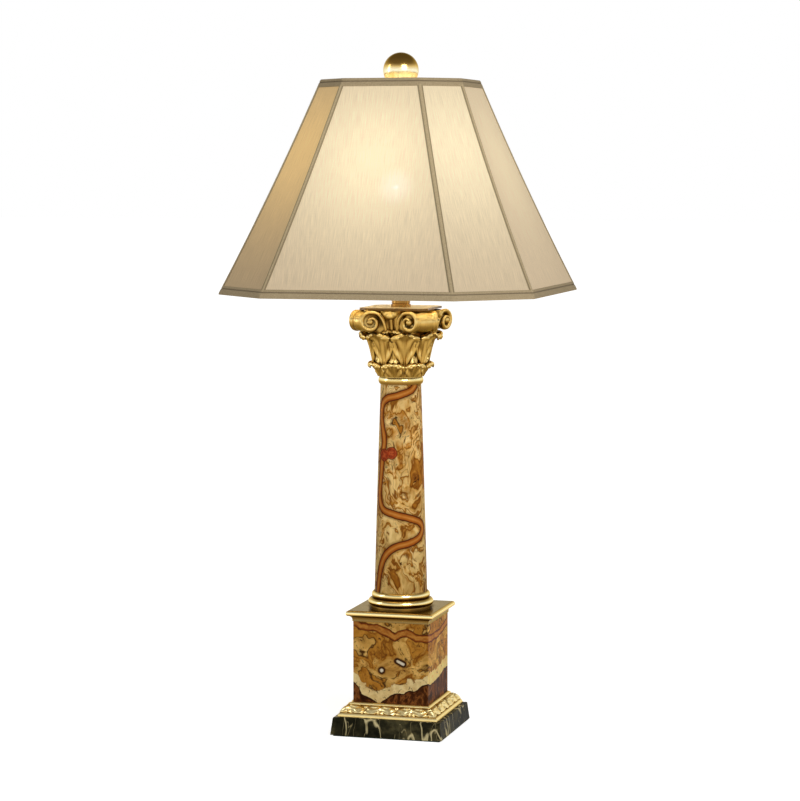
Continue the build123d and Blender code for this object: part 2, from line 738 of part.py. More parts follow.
def harp_wire():
    path = harp_path()
    wire = sweep(Plane(origin=path @ 0, z_dir=path % 0) * Circle(harp_wire_radius), path)
    post = disc(harp_wire_radius, saddle_top, harp_round_bottom)
    outer_half = Box(2 * harp_wire_radius, 4 * harp_wire_radius, 4 * saddle_top,
                     align=(Align.MIN, Align.CENTER, Align.CENTER))
    tongue = Pos(harp_half_span, 0, 0) * (post & Pos(slip / 2, 0, 0) * outer_half)
    return wire + tongue + mirror(tongue, Plane.YZ)


def harp_stud():
    boss_bottom = stud_boss_top - stud_boss_height - 1.5
    boss = disc(stud_boss_radius, boss_bottom, stud_boss_top)
    wire = Pos(0, 0, harp_top) * Rot(0, 90, 0) * Cylinder(harp_wire_radius + running, 4 * stud_boss_radius)
    return boss - wire + disc(stud_radius, stud_boss_top - 2, stud_boss_top + stud_length)


def harp_sleeve(side):
    inner = harp_wire_radius + running * 2
    bottom = saddle_top + slip
    sleeve = tube(inner + sleeve_wall, inner, bottom, bottom + sleeve_length)
    return Pos(side * harp_half_span, 0, 0) * sleeve


# ---- Shade ----
def shade_share(height):
    """Share of the way up the shade, from 0 at the lower edge to 1 at the upper edge."""
    return (height - shade_bottom_height) / shade_height


def shade_bow(height):
    """How far a panel bows in at a height."""
    s = shade_share(height)
    return shade_hollow * 4 * s * (1 - s)


def between(low_value, top_value, height):
    """Size at a height on a straight run from the shade's lower edge to its upper edge."""
    return low_value + (top_value - low_value) * shade_share(height)


def wide_apothem(height):
    return between(shade_bottom_apothem, shade_top_apothem, height) - shade_bow(height)


def wide_half_width(height):
    straight = between(shade_bottom_half_width, shade_top_half_width, height)
    return straight - shade_bow(height) * tan(radians(22.5))


def corner_apothem(height):
    """From the axis to the middle of a corner side, which the wide sides' ends settle."""
    low_value = (shade_bottom_apothem + shade_bottom_half_width) / sqrt(2)
    top_value = (shade_top_apothem + shade_top_half_width) / sqrt(2)
    return between(low_value, top_value, height) - shade_bow(height)


def corner_half_width(height):
    low_value = (shade_bottom_apothem - shade_bottom_half_width) / sqrt(2)
    top_value = (shade_top_apothem - shade_top_half_width) / sqrt(2)
    return between(low_value, top_value, height) - shade_bow(height) * tan(radians(22.5))


def shade_panel(apothem, half_width, inset, thickness, edge_gap=0.0):
    """One curved panel that faces the front, moved in from the shade's face by an inset."""
    heights = (shade_bottom_height, shade_bottom_height + shade_height / 2, shade_top_height)
    run = apothem(heights[0]) - apothem(heights[2])
    lean = sqrt(1 + (run / shade_height) ** 2)
    outer = [(-apothem(z) + inset * lean, z) for z in heights]
    inner = [(-apothem(z) + (inset + thickness) * lean, z) for z in heights]
    section = make_face(ThreePointArc(*outer) + Line(outer[2], inner[2]) + ThreePointArc(*inner[::-1])
                        + Line(inner[0], outer[0]))
    band = extrude(Plane.YZ * section, 2 * half_width(heights[0]), both=True)
    narrow = panel_seam_gap + inset * tan(radians(22.5)) * lean
    cut = (heights[0] + edge_gap, heights[1], heights[2] - edge_gap)
    right = [(half_width(z) - narrow, z) for z in cut]
    left = [(-x, z) for x, z in right]
    outline = make_face(ThreePointArc(*right) + Line(right[2], left[2]) + ThreePointArc(*left[::-1])
                        + Line(left[0], right[0]))
    return band & extrude(Plane.XZ * outline, 2 * apothem(heights[0]))


def shade_wide_panels():
    panel = shade_panel(wide_apothem, wide_half_width, 0, cover_thickness)
    return Compound(around(panel, 4))


def shade_corner_panels():
    panel = shade_panel(corner_apothem, corner_half_width, 0, cover_thickness)
    return Compound(around(panel, 4, 45))


def shade_lining():
    inset = frame_inset() + frame_wire_radius + slip
    edge_gap = 2 * frame_wire_radius + lining_edge_gap
    wide = shade_panel(wide_apothem, wide_half_width, inset, lining_thickness, edge_gap)
    corner = shade_panel(corner_apothem, corner_half_width, inset, lining_thickness, edge_gap)
    return Compound(around(wide, 4) + around(corner, 4, 45))


def rib_point(height, inset):
    """Point on the right front fold line of the shade, moved in towards the axis."""
    x = wide_half_width(height)
    y = wide_apothem(height)
    inward = inset / cos(radians(22.5))
    return (x - inward * sin(radians(22.5)), -y + inward * cos(radians(22.5)), height)


def rib_arc(bottom, top, inset):
    middle = rib_point((bottom + top) / 2, inset)
    return ThreePointArc(rib_point(bottom, inset), middle, rib_point(top, inset))


def mirrored_ribs(rib):
    """All eight from the right front one."""
    return around(rib, 4) + around(mirror(rib, Plane.YZ), 4)


def frame_inset():
    """From the shade's face to the middle of the frame's wires."""
    return cover_thickness + frame_wire_radius + slip + frame_wire_gap


def shade_ribs():
    gap = frame_wire_radius + 1.0
    path = rib_arc(shade_bottom_height + 2 * gap, shade_top_height - 2 * gap, frame_inset())
    wire = sweep(Plane(origin=path @ 0, z_dir=path % 0) * Circle(frame_wire_radius), path)
    return Compound(mirrored_ribs(wire))


def octagon(height, inset, bend):
    """Closed fold line around the shade at a height, moved in by an inset."""
    x = wide_half_width(height) - inset * tan(radians(22.5))
    y = wide_apothem(height) - inset
    corners = [(x, -y), (y, -x), (y, x), (x, y), (-x, y), (-y, x), (-y, -x), (-x, -y)]
    return Pos(0, 0, height) * FilletPolyline(*corners, radius=bend, close=True)


def frame_ring(height):
    path = octagon(height, frame_inset() + slip, 6.0)
    return sweep(Plane(origin=path @ 0, z_dir=path % 0) * Circle(frame_wire_radius), path)


def shade_bottom_ring():
    return frame_ring(shade_bottom_height + frame_wire_radius + ring_edge_gap)


def shade_top_ring():
    return frame_ring(shade_top_height - frame_wire_radius - ring_edge_gap)


def binding(low, top):
    """Fabric tape around an edge of the shade, outside the cover."""
    def ring_face(height, outset):
        return make_face(octagon(height, -outset, 1.0))
    inner_gap = slip / 2
    outer_gap = inner_gap + binding_thickness * 1.1
    outside = loft([ring_face(low, outer_gap), ring_face(top, outer_gap)], ruled=True)
    inside = loft([ring_face(low, inner_gap), ring_face(top, inner_gap)], ruled=True)
    return outside - inside


def bottom_binding():
    return binding(shade_bottom_height, shade_bottom_height + binding_height)


def top_binding():
    return binding(shade_top_height - binding_height, shade_top_height)


def rib_trims():
    end_gap = slip + rib_trim_half_width * sin(radians(22.5))
    low = shade_bottom_height + binding_height + end_gap
    top = shade_top_height - binding_height - end_gap
    path = rib_arc(low, top, -rib_trim_thickness - slip)
    plane = Plane(origin=path @ 0, x_dir=(cos(radians(22.5)), sin(radians(22.5)), 0), z_dir=path % 0)
    w = rib_trim_half_width
    drop = w * tan(radians(22.5))
    t = rib_trim_thickness
    section = make_face(Polyline((0, 0), (w, drop), (w, drop + t), (0, t), (-w, drop + t), (-w, drop),
                                 close=True))
    strip = sweep(plane * section, path)
    return Compound(mirrored_ribs(strip))


def shade_spider():
    hub = tube(spider_hub_radius, stud_radius + 2 * running, stud_boss_top, hub_top)
    ring_level = shade_top_height - frame_wire_radius - ring_edge_gap
    reach = wide_apothem(ring_level) - frame_inset() - 2 * slip - frame_wire_radius
    level = hub_top - frame_wire_radius
    path = FilletPolyline((spider_hub_radius - 2, 0, level), (spider_hub_radius + 14, 0, level),
                          (reach - 12, 0, ring_level), (reach, 0, ring_level), radius=14)
    arm = sweep(Plane(origin=path @ 0, z_dir=path % 0) * Circle(frame_wire_radius), path)
    return hub.fuse(*around(arm, spider_arm_count))


# ---- Finial ----
def finial_neck():
    bore = stud_radius + running
    r = finial_neck_radius
    z = finial_neck_bottom
    edges = Polyline((bore, z), (r, z), (r, z + 1.8))
    edges += ThreePointArc((r, z + 1.8), (r - 1.9, z + 3.4), (r - 1.2, finial_neck_top))
    edges += Polyline((r - 1.2, finial_neck_top), (finial_spigot_radius, finial_neck_top),
                      (finial_spigot_radius, finial_neck_top + finial_spigot_length),
                      (bore, finial_neck_top + finial_spigot_length), (bore, z))
    return turned(edges)


def finial_ball():
    ball = Sphere(finial_ball_radius) - Sphere(finial_ball_radius - finial_wall)
    socket = disc(finial_spigot_radius + running, finial_neck_top - 5, finial_centre)
    return Pos(0, 0, finial_centre) * ball - socket


# ---- Write every sub-part ----
save(base_felt(), "base_felt")
save(marble_base(), "marble_base")
save(cord_grommet(), "cord_grommet")
save(base_moulding(), "base_moulding")
save(pedestal_block(), "pedestal_block")
save(pedestal_cap(), "pedestal_cap")
save(column_base_ring(), "column_base_ring")
save(column_shaft(), "column_shaft")
save(astragal_ring(), "astragal_ring")
save(capital(), "capital")
save(abacus_plate(), "abacus_plate")
save(threaded_pipe(), "threaded_pipe")
save(bottom_washer(), "bottom_washer")
save(bottom_nut(), "bottom_nut")
save(neck_collar(), "neck_collar")
save(harp_saddle(), "harp_saddle")
save(socket_cap(), "socket_cap")
save(socket_shell(), "socket_shell")
save(socket_liner(), "socket_liner")
save(socket_body(), "socket_body")
save(screw_shell(), "screw_shell")
save(centre_contact(), "centre_contact")
save(switch_shaft(), "switch_shaft")
save(switch_knob(), "switch_knob")
save(bulb_glass(), "bulb_glass")
save(bulb_cap(), "bulb_cap")
save(bulb_contact(), "bulb_contact")
save(harp_wire(), "harp_wire")
save(harp_stud(), "harp_stud")
save(harp_sleeve(-1), "harp_sleeve_left")
save(harp_sleeve(1), "harp_sleeve_right")
save(shade_wide_panels(), "shade_wide_panels")
save(shade_corner_panels(), "shade_corner_panels")
save(shade_lining(), "shade_lining")
save(shade_ribs(), "shade_ribs")
save(shade_bottom_ring(), "shade_bottom_ring")
save(shade_top_ring(), "shade_top_ring")
save(bottom_binding(), "bottom_binding")
save(top_binding(), "top_binding")
save(rib_trims(), "rib_trims")
save(shade_spider(), "shade_spider")
save(finial_neck(), "finial_neck")
save(finial_ball(), "finial_ball")
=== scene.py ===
from math import atan2, cos, exp, hypot, pi, radians, sin, sqrt, tan

import bpy
from mathutils import Matrix, Vector, noise


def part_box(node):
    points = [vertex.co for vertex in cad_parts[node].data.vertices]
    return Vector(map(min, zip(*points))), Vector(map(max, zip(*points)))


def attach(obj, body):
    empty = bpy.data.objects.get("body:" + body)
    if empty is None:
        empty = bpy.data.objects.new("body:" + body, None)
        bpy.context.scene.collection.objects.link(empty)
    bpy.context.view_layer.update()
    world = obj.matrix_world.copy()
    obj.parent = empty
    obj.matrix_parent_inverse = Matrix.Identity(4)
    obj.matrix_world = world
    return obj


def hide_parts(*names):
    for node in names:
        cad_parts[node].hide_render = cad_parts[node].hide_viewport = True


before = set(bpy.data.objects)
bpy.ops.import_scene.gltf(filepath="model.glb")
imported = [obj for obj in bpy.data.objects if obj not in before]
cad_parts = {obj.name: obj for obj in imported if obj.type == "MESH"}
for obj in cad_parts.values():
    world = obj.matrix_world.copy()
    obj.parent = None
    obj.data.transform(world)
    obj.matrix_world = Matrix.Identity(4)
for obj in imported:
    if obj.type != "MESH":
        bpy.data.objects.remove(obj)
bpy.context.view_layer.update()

# Lengths in this script are millimetres until a vertex is placed.
MM = 0.001

# ---- Heights and sizes that the pieces share with the frame ----
block_low, block_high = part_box("pedestal_block")
shaft_low, shaft_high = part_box("column_shaft")
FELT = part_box("base_felt")
MOULDING_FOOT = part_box("base_moulding")[0].z / MM
BLOCK_FOOT = block_low.z / MM
BLOCK_TOP = block_high.z / MM
BLOCK_HALF = block_high.x / MM
SHAFT_FOOT = shaft_low.z / MM
SHAFT_TOP = shaft_high.z / MM
CAPITAL_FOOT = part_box("astragal_ring")[1].z / MM
CAPITAL_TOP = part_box("abacus_plate")[0].z / MM
SHADE_FOOT = 585.8
SHADE_HEIGHT = 278.7
GLOW_MIDDLE = 709.0


# ---- Making and finishing meshes ----
def set_mode(mode):
    bpy.ops.object.mode_set(mode=mode)


def deselect():
    if bpy.context.object and bpy.context.object.mode != "OBJECT":
        set_mode("OBJECT")
    bpy.ops.object.select_all(action="DESELECT")


def pick(piece):
    deselect()
    piece.select_set(True)
    bpy.context.view_layer.objects.active = piece


def refresh(piece, weld_gap=None):
    """Lets edit mode renew the mesh. A gap in metres also welds its vertices and turns its faces outward."""
    pick(piece)
    set_mode("EDIT")
    bpy.ops.mesh.select_all(action="SELECT")
    if weld_gap:
        bpy.ops.mesh.remove_doubles(threshold=weld_gap)
        bpy.ops.mesh.normals_make_consistent(inside=False)
    set_mode("OBJECT")


def laid_grid(name, across, along, place, closed=False):
    """A grid whose vertices are laid out in millimetres by place(u, v), with u and v from 0 to 1."""
    deselect()
    bpy.ops.mesh.primitive_grid_add(x_subdivisions=across, y_subdivisions=along, size=1)
    piece = bpy.context.object
    piece.name = piece.data.name = name
    for vertex in piece.data.vertices:
        vertex.co = Vector(place(vertex.co.x + 0.5, vertex.co.y + 0.5)) * MM
    refresh(piece, 0.00001 if closed else None)
    return piece


def close_ends(piece, low, high):
    """Flat caps over the open ends of an upright piece, each with a narrow rim around its middle."""
    for height in (low, high):
        pick(piece)
        set_mode("EDIT")
        bpy.ops.mesh.select_mode(type="VERT")
        bpy.ops.mesh.select_all(action="DESELECT")
        set_mode("OBJECT")
        for vertex in piece.data.vertices:
            vertex.select = abs(vertex.co.z / MM - height) < 0.01
        set_mode("EDIT")
        bpy.ops.mesh.edge_face_add()
        bpy.ops.mesh.inset(thickness=20 * MM)
        bpy.ops.mesh.select_all(action="SELECT")
        bpy.ops.mesh.normals_make_consistent(inside=False)
        set_mode("OBJECT")


def apply_modifier(piece, kind, **settings):
    pick(piece)
    modifier = piece.modifiers.new(kind.title(), kind)
    for key, value in settings.items():
        setattr(modifier, key, value)
    bpy.ops.object.modifier_apply(modifier=modifier.name)


def thicken(piece, thickness):
    apply_modifier(piece, "SOLIDIFY", thickness=thickness * MM, offset=-1.0, use_even_offset=False)


def smooth(piece, angle=None):
    pick(piece)
    if angle is None:
        bpy.ops.object.shade_smooth()
    else:
        bpy.ops.object.shade_smooth_by_angle(angle=radians(angle))


def turned_copy(piece, degrees, mirrored):
    copy = piece.copy()
    copy.data = piece.data.copy()
    bpy.context.collection.objects.link(copy)
    turn = Matrix.Rotation(radians(degrees), 4, "Z")
    if mirrored:
        copy.data.transform(turn @ Matrix.Scale(-1, 4, (1, 0, 0)))
        copy.data.flip_normals()
    else:
        copy.data.transform(turn)
    return copy


def joined(pieces, name):
    deselect()
    for piece in pieces:
        piece.select_set(True)
    bpy.context.view_layer.objects.active = pieces[0]
    bpy.ops.object.join()
    whole = bpy.context.object
    whole.name = whole.data.name = name
    return whole


def around(piece, count, first, name, mirrored_too=False):
    """Evenly spaced copies around the lamp's axis, joined into one piece."""
    copies = [turned_copy(piece, first + 360 / count * i, mirrored)
              for mirrored in ((False, True) if mirrored_too else (False,)) for i in range(count)]
    bpy.data.objects.remove(piece, do_unlink=True)
    return joined(copies, name)


def mark(piece, attribute, value):
    """Stores a number for each vertex, worked out from its place in millimetres."""
    layer = piece.data.attributes.new(attribute, "FLOAT", "POINT")
    for i, vertex in enumerate(piece.data.vertices):
        layer.data[i].value = value(vertex.co / MM)


def dress(piece, finish, body, slot, *replaced):
    piece.data.materials.clear()
    piece.data.materials.append(finish)
    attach(piece, body)
    if replaced:
        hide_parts(*replaced)


def route_points(points, steps):
    """Points on a smooth line through the given ones, with even steps between each two."""
    ends = [2 * points[0] - points[1]] + list(points) + [2 * points[-1] - points[-2]]
    line = []
    for i in range(1, len(ends) - 2):
        a, b, c, d = ends[i - 1:i + 3]
        for k in range(steps):
            t = k / steps
            line.append(0.5 * ((2 * b) + (c - a) * t + (2 * a - 5 * b + 4 * c - d) * t * t
                               + (3 * b - a - 3 * c + d) * t * t * t))
    line.append(points[-1])
    return line


def along_route(line, v):
    """Place and direction on the line, v from 0 to 1 along it."""
    place = v * (len(line) - 1)
    i = min(int(place), len(line) - 2)
    t = place - i
    return line[i] * (1 - t) + line[i + 1] * t, (line[i + 1] - line[i]).normalized()


def gap_to_route(line, point):
    best = 1e9
    for a, b in zip(line, line[1:]):
        run = b - a
        t = max(0.0, min(1.0, (point - a).dot(run) / run.length_squared))
        best = min(best, (point - a - run * t).length_squared)
    return sqrt(best)


def at_turn(radius, angle, height):
    """Point at an angle from the front, around the lamp's axis."""
    return (radius * sin(angle), -radius * cos(angle), height)


def eased(low, high, x):
    """0 up to low, 1 from high on, and a soft rise between."""
    t = max(0.0, min(1.0, (x - low) / (high - low)))
    return t * t * (3 - 2 * t)


# ---- Finishes ----
class Nodes:
    """A node tree that grows node by node. An input is a value, or a socket to link from."""

    def __init__(self, tree):
        self.tree = tree

    def node(self, kind, inputs=None, **settings):
        node = self.tree.nodes.new(kind)
        for key, value in settings.items():
            setattr(node, key, value)
        for key, value in (inputs or {}).items():
            if isinstance(value, bpy.types.NodeSocket):
                self.tree.links.new(value, node.inputs[key])
            else:
                node.inputs[key].default_value = value
        return node

    def math(self, operation, a, b=0.0, clamp=False):
        return self.node("ShaderNodeMath", {0: a, 1: b, 2: 0.5}, operation=operation, use_clamp=clamp).outputs[0]

    def ramp(self, factor, stops, interpolation="LINEAR"):
        node = self.node("ShaderNodeValToRGB", {"Fac": factor})
        node.color_ramp.interpolation = interpolation
        elements = node.color_ramp.elements
        while len(elements) < len(stops):
            elements.new(0.5)
        for element, (position, colour) in zip(elements, stops):
            element.position = position
            element.color = (*colour, 1) if isinstance(colour, tuple) else (colour, colour, colour, 1)
        return node.outputs["Color"]

    def mix(self, factor, a, b, blend="MIX"):
        node = self.node("ShaderNodeMix", data_type="RGBA", blend_type=blend)
        for socket, value in ((0, factor), (6, a), (7, b)):
            if isinstance(value, bpy.types.NodeSocket):
                self.tree.links.new(value, node.inputs[socket])
            elif socket == 0:
                node.inputs[0].default_value = value
            else:
                node.inputs[socket].default_value = (*value, 1)
        return node.outputs[2]

    def seen_straight(self):
        """1 for rays of the camera, of mirrors and of glass, and 0 for light that falls on the lamp."""
        ray = self.node("ShaderNodeLightPath").outputs
        mirrored = self.math("MAXIMUM", ray["Is Camera Ray"], ray["Is Glossy Ray"])
        return self.math("MAXIMUM", mirrored, ray["Is Transmission Ray"])


class Finish(Nodes):
    """A procedural material around one Principled shader."""

    def __init__(self, name, **constants):
        self.material = bpy.data.materials.new(name)
        self.material.use_nodes = True
        super().__init__(self.material.node_tree)
        self.shader = self.tree.nodes["Principled BSDF"]
        self.coords = self.node("ShaderNodeTexCoord").outputs["Object"]
        for socket, value in constants.items():
            self.shader.inputs[socket.replace("_", " ")].default_value = value

    def to(self, socket, value):
        self.tree.links.new(value, self.shader.inputs[socket])

    def sized(self, scale, rotation=(0, 0, 0), vector=None):
        return self.node("ShaderNodeMapping", {"Vector": vector or self.coords, "Scale": scale,
                                               "Rotation": rotation}).outputs[0]

    def noise(self, scale, detail=3.0, roughness=0.5, distortion=0.0, vector=None):
        return self.node("ShaderNodeTexNoise", {
            "Vector": vector or self.coords, "Scale": scale, "Detail": detail,
            "Roughness": roughness, "Distortion": distortion}).outputs["Fac"]

    def spread(self, field, reach):
        """A field from 0 to 1, moved to lie evenly around 0 and as wide as reach."""
        return self.math("MULTIPLY", self.math("SUBTRACT", field, 0.5), reach)

    def near(self, name, wobble, per_mm=0.1):
        """An attribute in millimetres with a wobbling edge, scaled and kept between 0 and 1."""
        return self.math("MULTIPLY", self.math("ADD", self.attribute(name), wobble), per_mm, clamp=True)

    def part(self, vector, axis):
        return self.node("ShaderNodeSeparateXYZ", {"Vector": vector}).outputs[axis]

    def normal(self, axis):
        return self.part(self.node("ShaderNodeNewGeometry").outputs["Normal"], axis)

    def attribute(self, name):
        return self.node("ShaderNodeAttribute", attribute_name=name).outputs["Fac"]

    def bump(self, height, strength, distance):
        node = self.node("ShaderNodeBump", {"Height": height, "Strength": strength, "Distance": distance * MM})
        self.tree.links.new(node.outputs["Normal"], self.shader.inputs["Normal"])

    def recess(self, distance):
        """0 in the open, 1 deep in a fold."""
        node = self.node("ShaderNodeAmbientOcclusion", {"Distance": distance * MM}, samples=8)
        return self.math("SUBTRACT", 1.0, node.outputs["AO"])


def srgb(r, g, b):
    """Colour of the shader from the three numbers that a paint chart gives."""
    def linear(c):
        c /= 255
        return c / 12.92 if c <= 0.04045 else ((c + 0.055) / 1.055) ** 2.4
    return (linear(r), linear(g), linear(b))


def gilt(name, tones, fold, reach, patch, rough, metal=1.0, painted_shade_below=None):
    """Gold leaf with painted reflection: its tone by how far it looks up, and darker where a fold within reach
    holds glazing and painted shade.
    """
    f = Finish(name, Metallic=metal, Specular_Tint=(0.84, 0.72, 0.48, 1))
    spots = f.spread(f.noise(70, 4, 0.6), patch)
    # Painted reflection and highlight: the colour follows how far each face looks up.
    facing = f.math("ADD", f.math("MULTIPLY_ADD", f.normal("Z"), 0.5), spots, clamp=True)
    leaf = f.ramp(facing, [(place, srgb(*tone)) for place, tone in tones])
    # Glazing in the folds, together with painted shade where ambient occlusion finds a fold.
    glaze_and_shade = f.math("ADD", f.recess(reach), spots, clamp=True)
    # Painted shade: darker below the given height.
    if painted_shade_below:
        height = f.math("SUBTRACT", f.part(f.coords, "Z"), painted_shade_below * MM - 0.001)
        over = f.math("MULTIPLY", height, 500.0, clamp=True)
        leaf = f.mix(1.0, leaf, f.ramp(over, [(0.0, (0.22, 0.17, 0.11)), (1.0, (1.0, 1.0, 1.0))]), "MULTIPLY")
    f.to("Base Color", f.mix(f.ramp(glaze_and_shade, [(0.25, 0.0), (0.70, 0.75), (1.0, 1.0)]), leaf, srgb(*fold)))
    f.to("Roughness", f.ramp(glaze_and_shade, [(0.1, rough), (0.8, rough + 0.25)]))
    f.bump(f.noise(420, 3, 0.6), 0.08, 0.25)
    return f.material


# Each gilding's tones run from faces that look down to faces that look up, as painted reflection and highlight.
AGED_AND_SHADED = gilt("aged_and_shaded_gilt", [
    (0.0, (86, 58, 20)), (0.30, (126, 94, 38)), (0.46, (184, 146, 74)), (0.58, (240, 212, 138)),
    (0.72, (255, 238, 180)), (1.0, (228, 194, 116))], fold=(70, 42, 12), reach=5.0, patch=0.16, rough=0.28)
# The finial: painted reflection, dark where it would mirror the room above, and bright below its middle.
BALL = gilt("ball_gilt", [
    (0.0, (255, 248, 214)), (0.50, (255, 246, 206)), (0.60, (226, 192, 118)), (0.68, (168, 132, 64)),
    (0.84, (140, 108, 50)), (1.0, (124, 96, 48))], fold=(160, 120, 56), reach=3.0, patch=0.05, rough=0.2)
# The pedestal's cap: a painted highlight on its roll, painted shade in the hollow below it, and a painted dark
# reflection on its top.
CAP = gilt("cap_gilt", [
    (0.0, (150, 116, 56)), (0.34, (214, 180, 106)), (0.46, (244, 216, 146)), (0.56, (255, 238, 176)),
    (0.68, (255, 244, 190)), (0.86, (214, 178, 102)), (0.985, (122, 96, 50)), (1.0, (92, 72, 36))],
    fold=(122, 90, 40), reach=6.0, patch=0.06, rough=0.22, painted_shade_below=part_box("pedestal_cap")[0].z / MM + 9.0)
# The rings: painted dark reflection on faces that look down or straight up, and a painted highlight on those
# between.
BRIGHT = gilt("bright_gilt", [
    (0.0, (110, 80, 32)), (0.34, (124, 90, 38)), (0.46, (156, 120, 56)), (0.54, (232, 202, 124)),
    (0.66, (255, 244, 190)), (0.86, (226, 192, 112)), (0.985, (150, 122, 66)), (1.0, (116, 92, 48))],
    fold=(122, 90, 40), reach=6.0, patch=0.06, rough=0.2)
# The plate on the capital: painted light on top, where the shade's light falls on it, and painted shade at its
# edge.
PLATE = gilt("plate_gilt", [
    (0.0, (60, 36, 10)), (0.40, (78, 50, 16)), (0.50, (136, 104, 54)), (0.80, (236, 222, 184)),
    (1.0, (232, 220, 188))], fold=(120, 92, 46), reach=3.0, patch=0.06, rough=0.3, metal=0.12)

CREAM = srgb(255, 226, 158)
SAND = srgb(240, 192, 110)
HONEY = srgb(204, 142, 58)
UMBER = srgb(138, 82, 28)
BARK = srgb(62, 34, 16)
RUST = srgb(190, 110, 40)
AMBER = srgb(212, 146, 68)
OXBLOOD = srgb(92, 34, 14)
# Low, so that the stones mirror little of the white room.
STONE_IOR = 1.06


def stone_ground(f, scale, stretch, detail, stops):
    """Cloudy stone colour with drawn contour lines, from one warped noise, and dark flecks."""
    drawn = f.sized((1, 1, stretch))
    warp = f.node("ShaderNodeTexNoise", {"Vector": drawn, "Scale": 24, "Detail": 3.0}).outputs["Color"]
    shift = f.node("ShaderNodeVectorMath", {0: warp, 1: (0.5, 0.5, 0.5)}, operation="SUBTRACT").outputs[0]
    reach = f.node("ShaderNodeVectorMath", {0: shift, "Scale": 0.06}, operation="SCALE").outputs[0]
    moved = f.node("ShaderNodeVectorMath", {0: drawn, 1: reach}, operation="ADD").outputs[0]
    ground = f.ramp(f.noise(scale, detail, 0.54, 0.4, vector=moved), stops)
    mottle = f.ramp(f.noise(scale * 3.2, 4, 0.65, vector=moved), [
        (0.28, (0.42, 0.29, 0.16)), (0.46, (0.74, 0.64, 0.48)), (0.66, (1.0, 0.95, 0.86))])
    ground = f.mix(1.0, ground, mottle, "MULTIPLY")
    crack = f.math("ABSOLUTE", f.math("SUBTRACT", f.noise(scale * 1.7, 3, 0.6, 0.5, vector=moved), 0.47))
    ground = f.mix(f.ramp(crack, [(0.0, 0.7), (0.011, 0.0)]), ground, UMBER)
    specks = f.ramp(f.noise(170, 3, 0.6, 0.4, vector=moved), [(0.645, 0.0), (0.69, 0.9)])
    return f.mix(specks, ground, BARK), moved


def polished_stone(f, colour):
    f.to("Base Color", colour)
    f.to("Roughness", f.ramp(f.noise(60, 3), [(0.2, 0.28), (0.8, 0.42)]))


def shaft_onyx():
    """Figured onyx: cream and honey clouds, brown contours, and one winding rust vein."""
    f = Finish("shaft_onyx", IOR=STONE_IOR)
    ground, _ = stone_ground(f, 21, 0.62, 4.0, [
        (0.30, UMBER), (0.36, HONEY), (0.395, UMBER), (0.408, SAND), (0.445, CREAM), (0.468, HONEY), (0.478, UMBER),
        (0.490, CREAM), (0.535, CREAM), (0.556, SAND), (0.566, UMBER), (0.580, HONEY), (0.62, CREAM), (0.645, BARK),
        (0.665, HONEY), (0.74, UMBER)])
    wobble = f.spread(f.noise(90, 3, 0.6), 1.8)
    gap = f.near("vein", wobble)
    vein = f.ramp(gap, [(0.0, AMBER), (0.18, RUST), (0.34, srgb(166, 88, 30)), (0.42, OXBLOOD), (0.50, BARK),
                        (0.60, UMBER)])
    colour = f.mix(f.ramp(gap, [(0.50, 1.0), (0.58, 0.6), (0.86, 0.0)]), ground, vein)
    knot = f.near("knot", f.math("MULTIPLY", wobble, 0.8))
    red = f.ramp(knot, [(0.0, srgb(190, 88, 46)), (0.30, srgb(158, 58, 28)), (0.46, srgb(180, 84, 44)),
                        (0.56, srgb(84, 26, 12))])
    red = f.mix(f.ramp(f.noise(300, 3, 0.6), [(0.45, 0.0), (0.60, 0.6)]), red, srgb(112, 40, 20))
    colour = f.mix(f.ramp(knot, [(0.56, 1.0), (0.66, 0.0)]), colour, red)
    paler = f.ramp(f.part(f.coords, "Z"), [
        (0.20, (0.84, 0.82, 0.78)), (0.32, (1.06, 1.08, 1.14)), (0.44, (1.10, 1.14, 1.26))])
    polished_stone(f, f.mix(1.0, colour, paler, "MULTIPLY"))
    return f.material


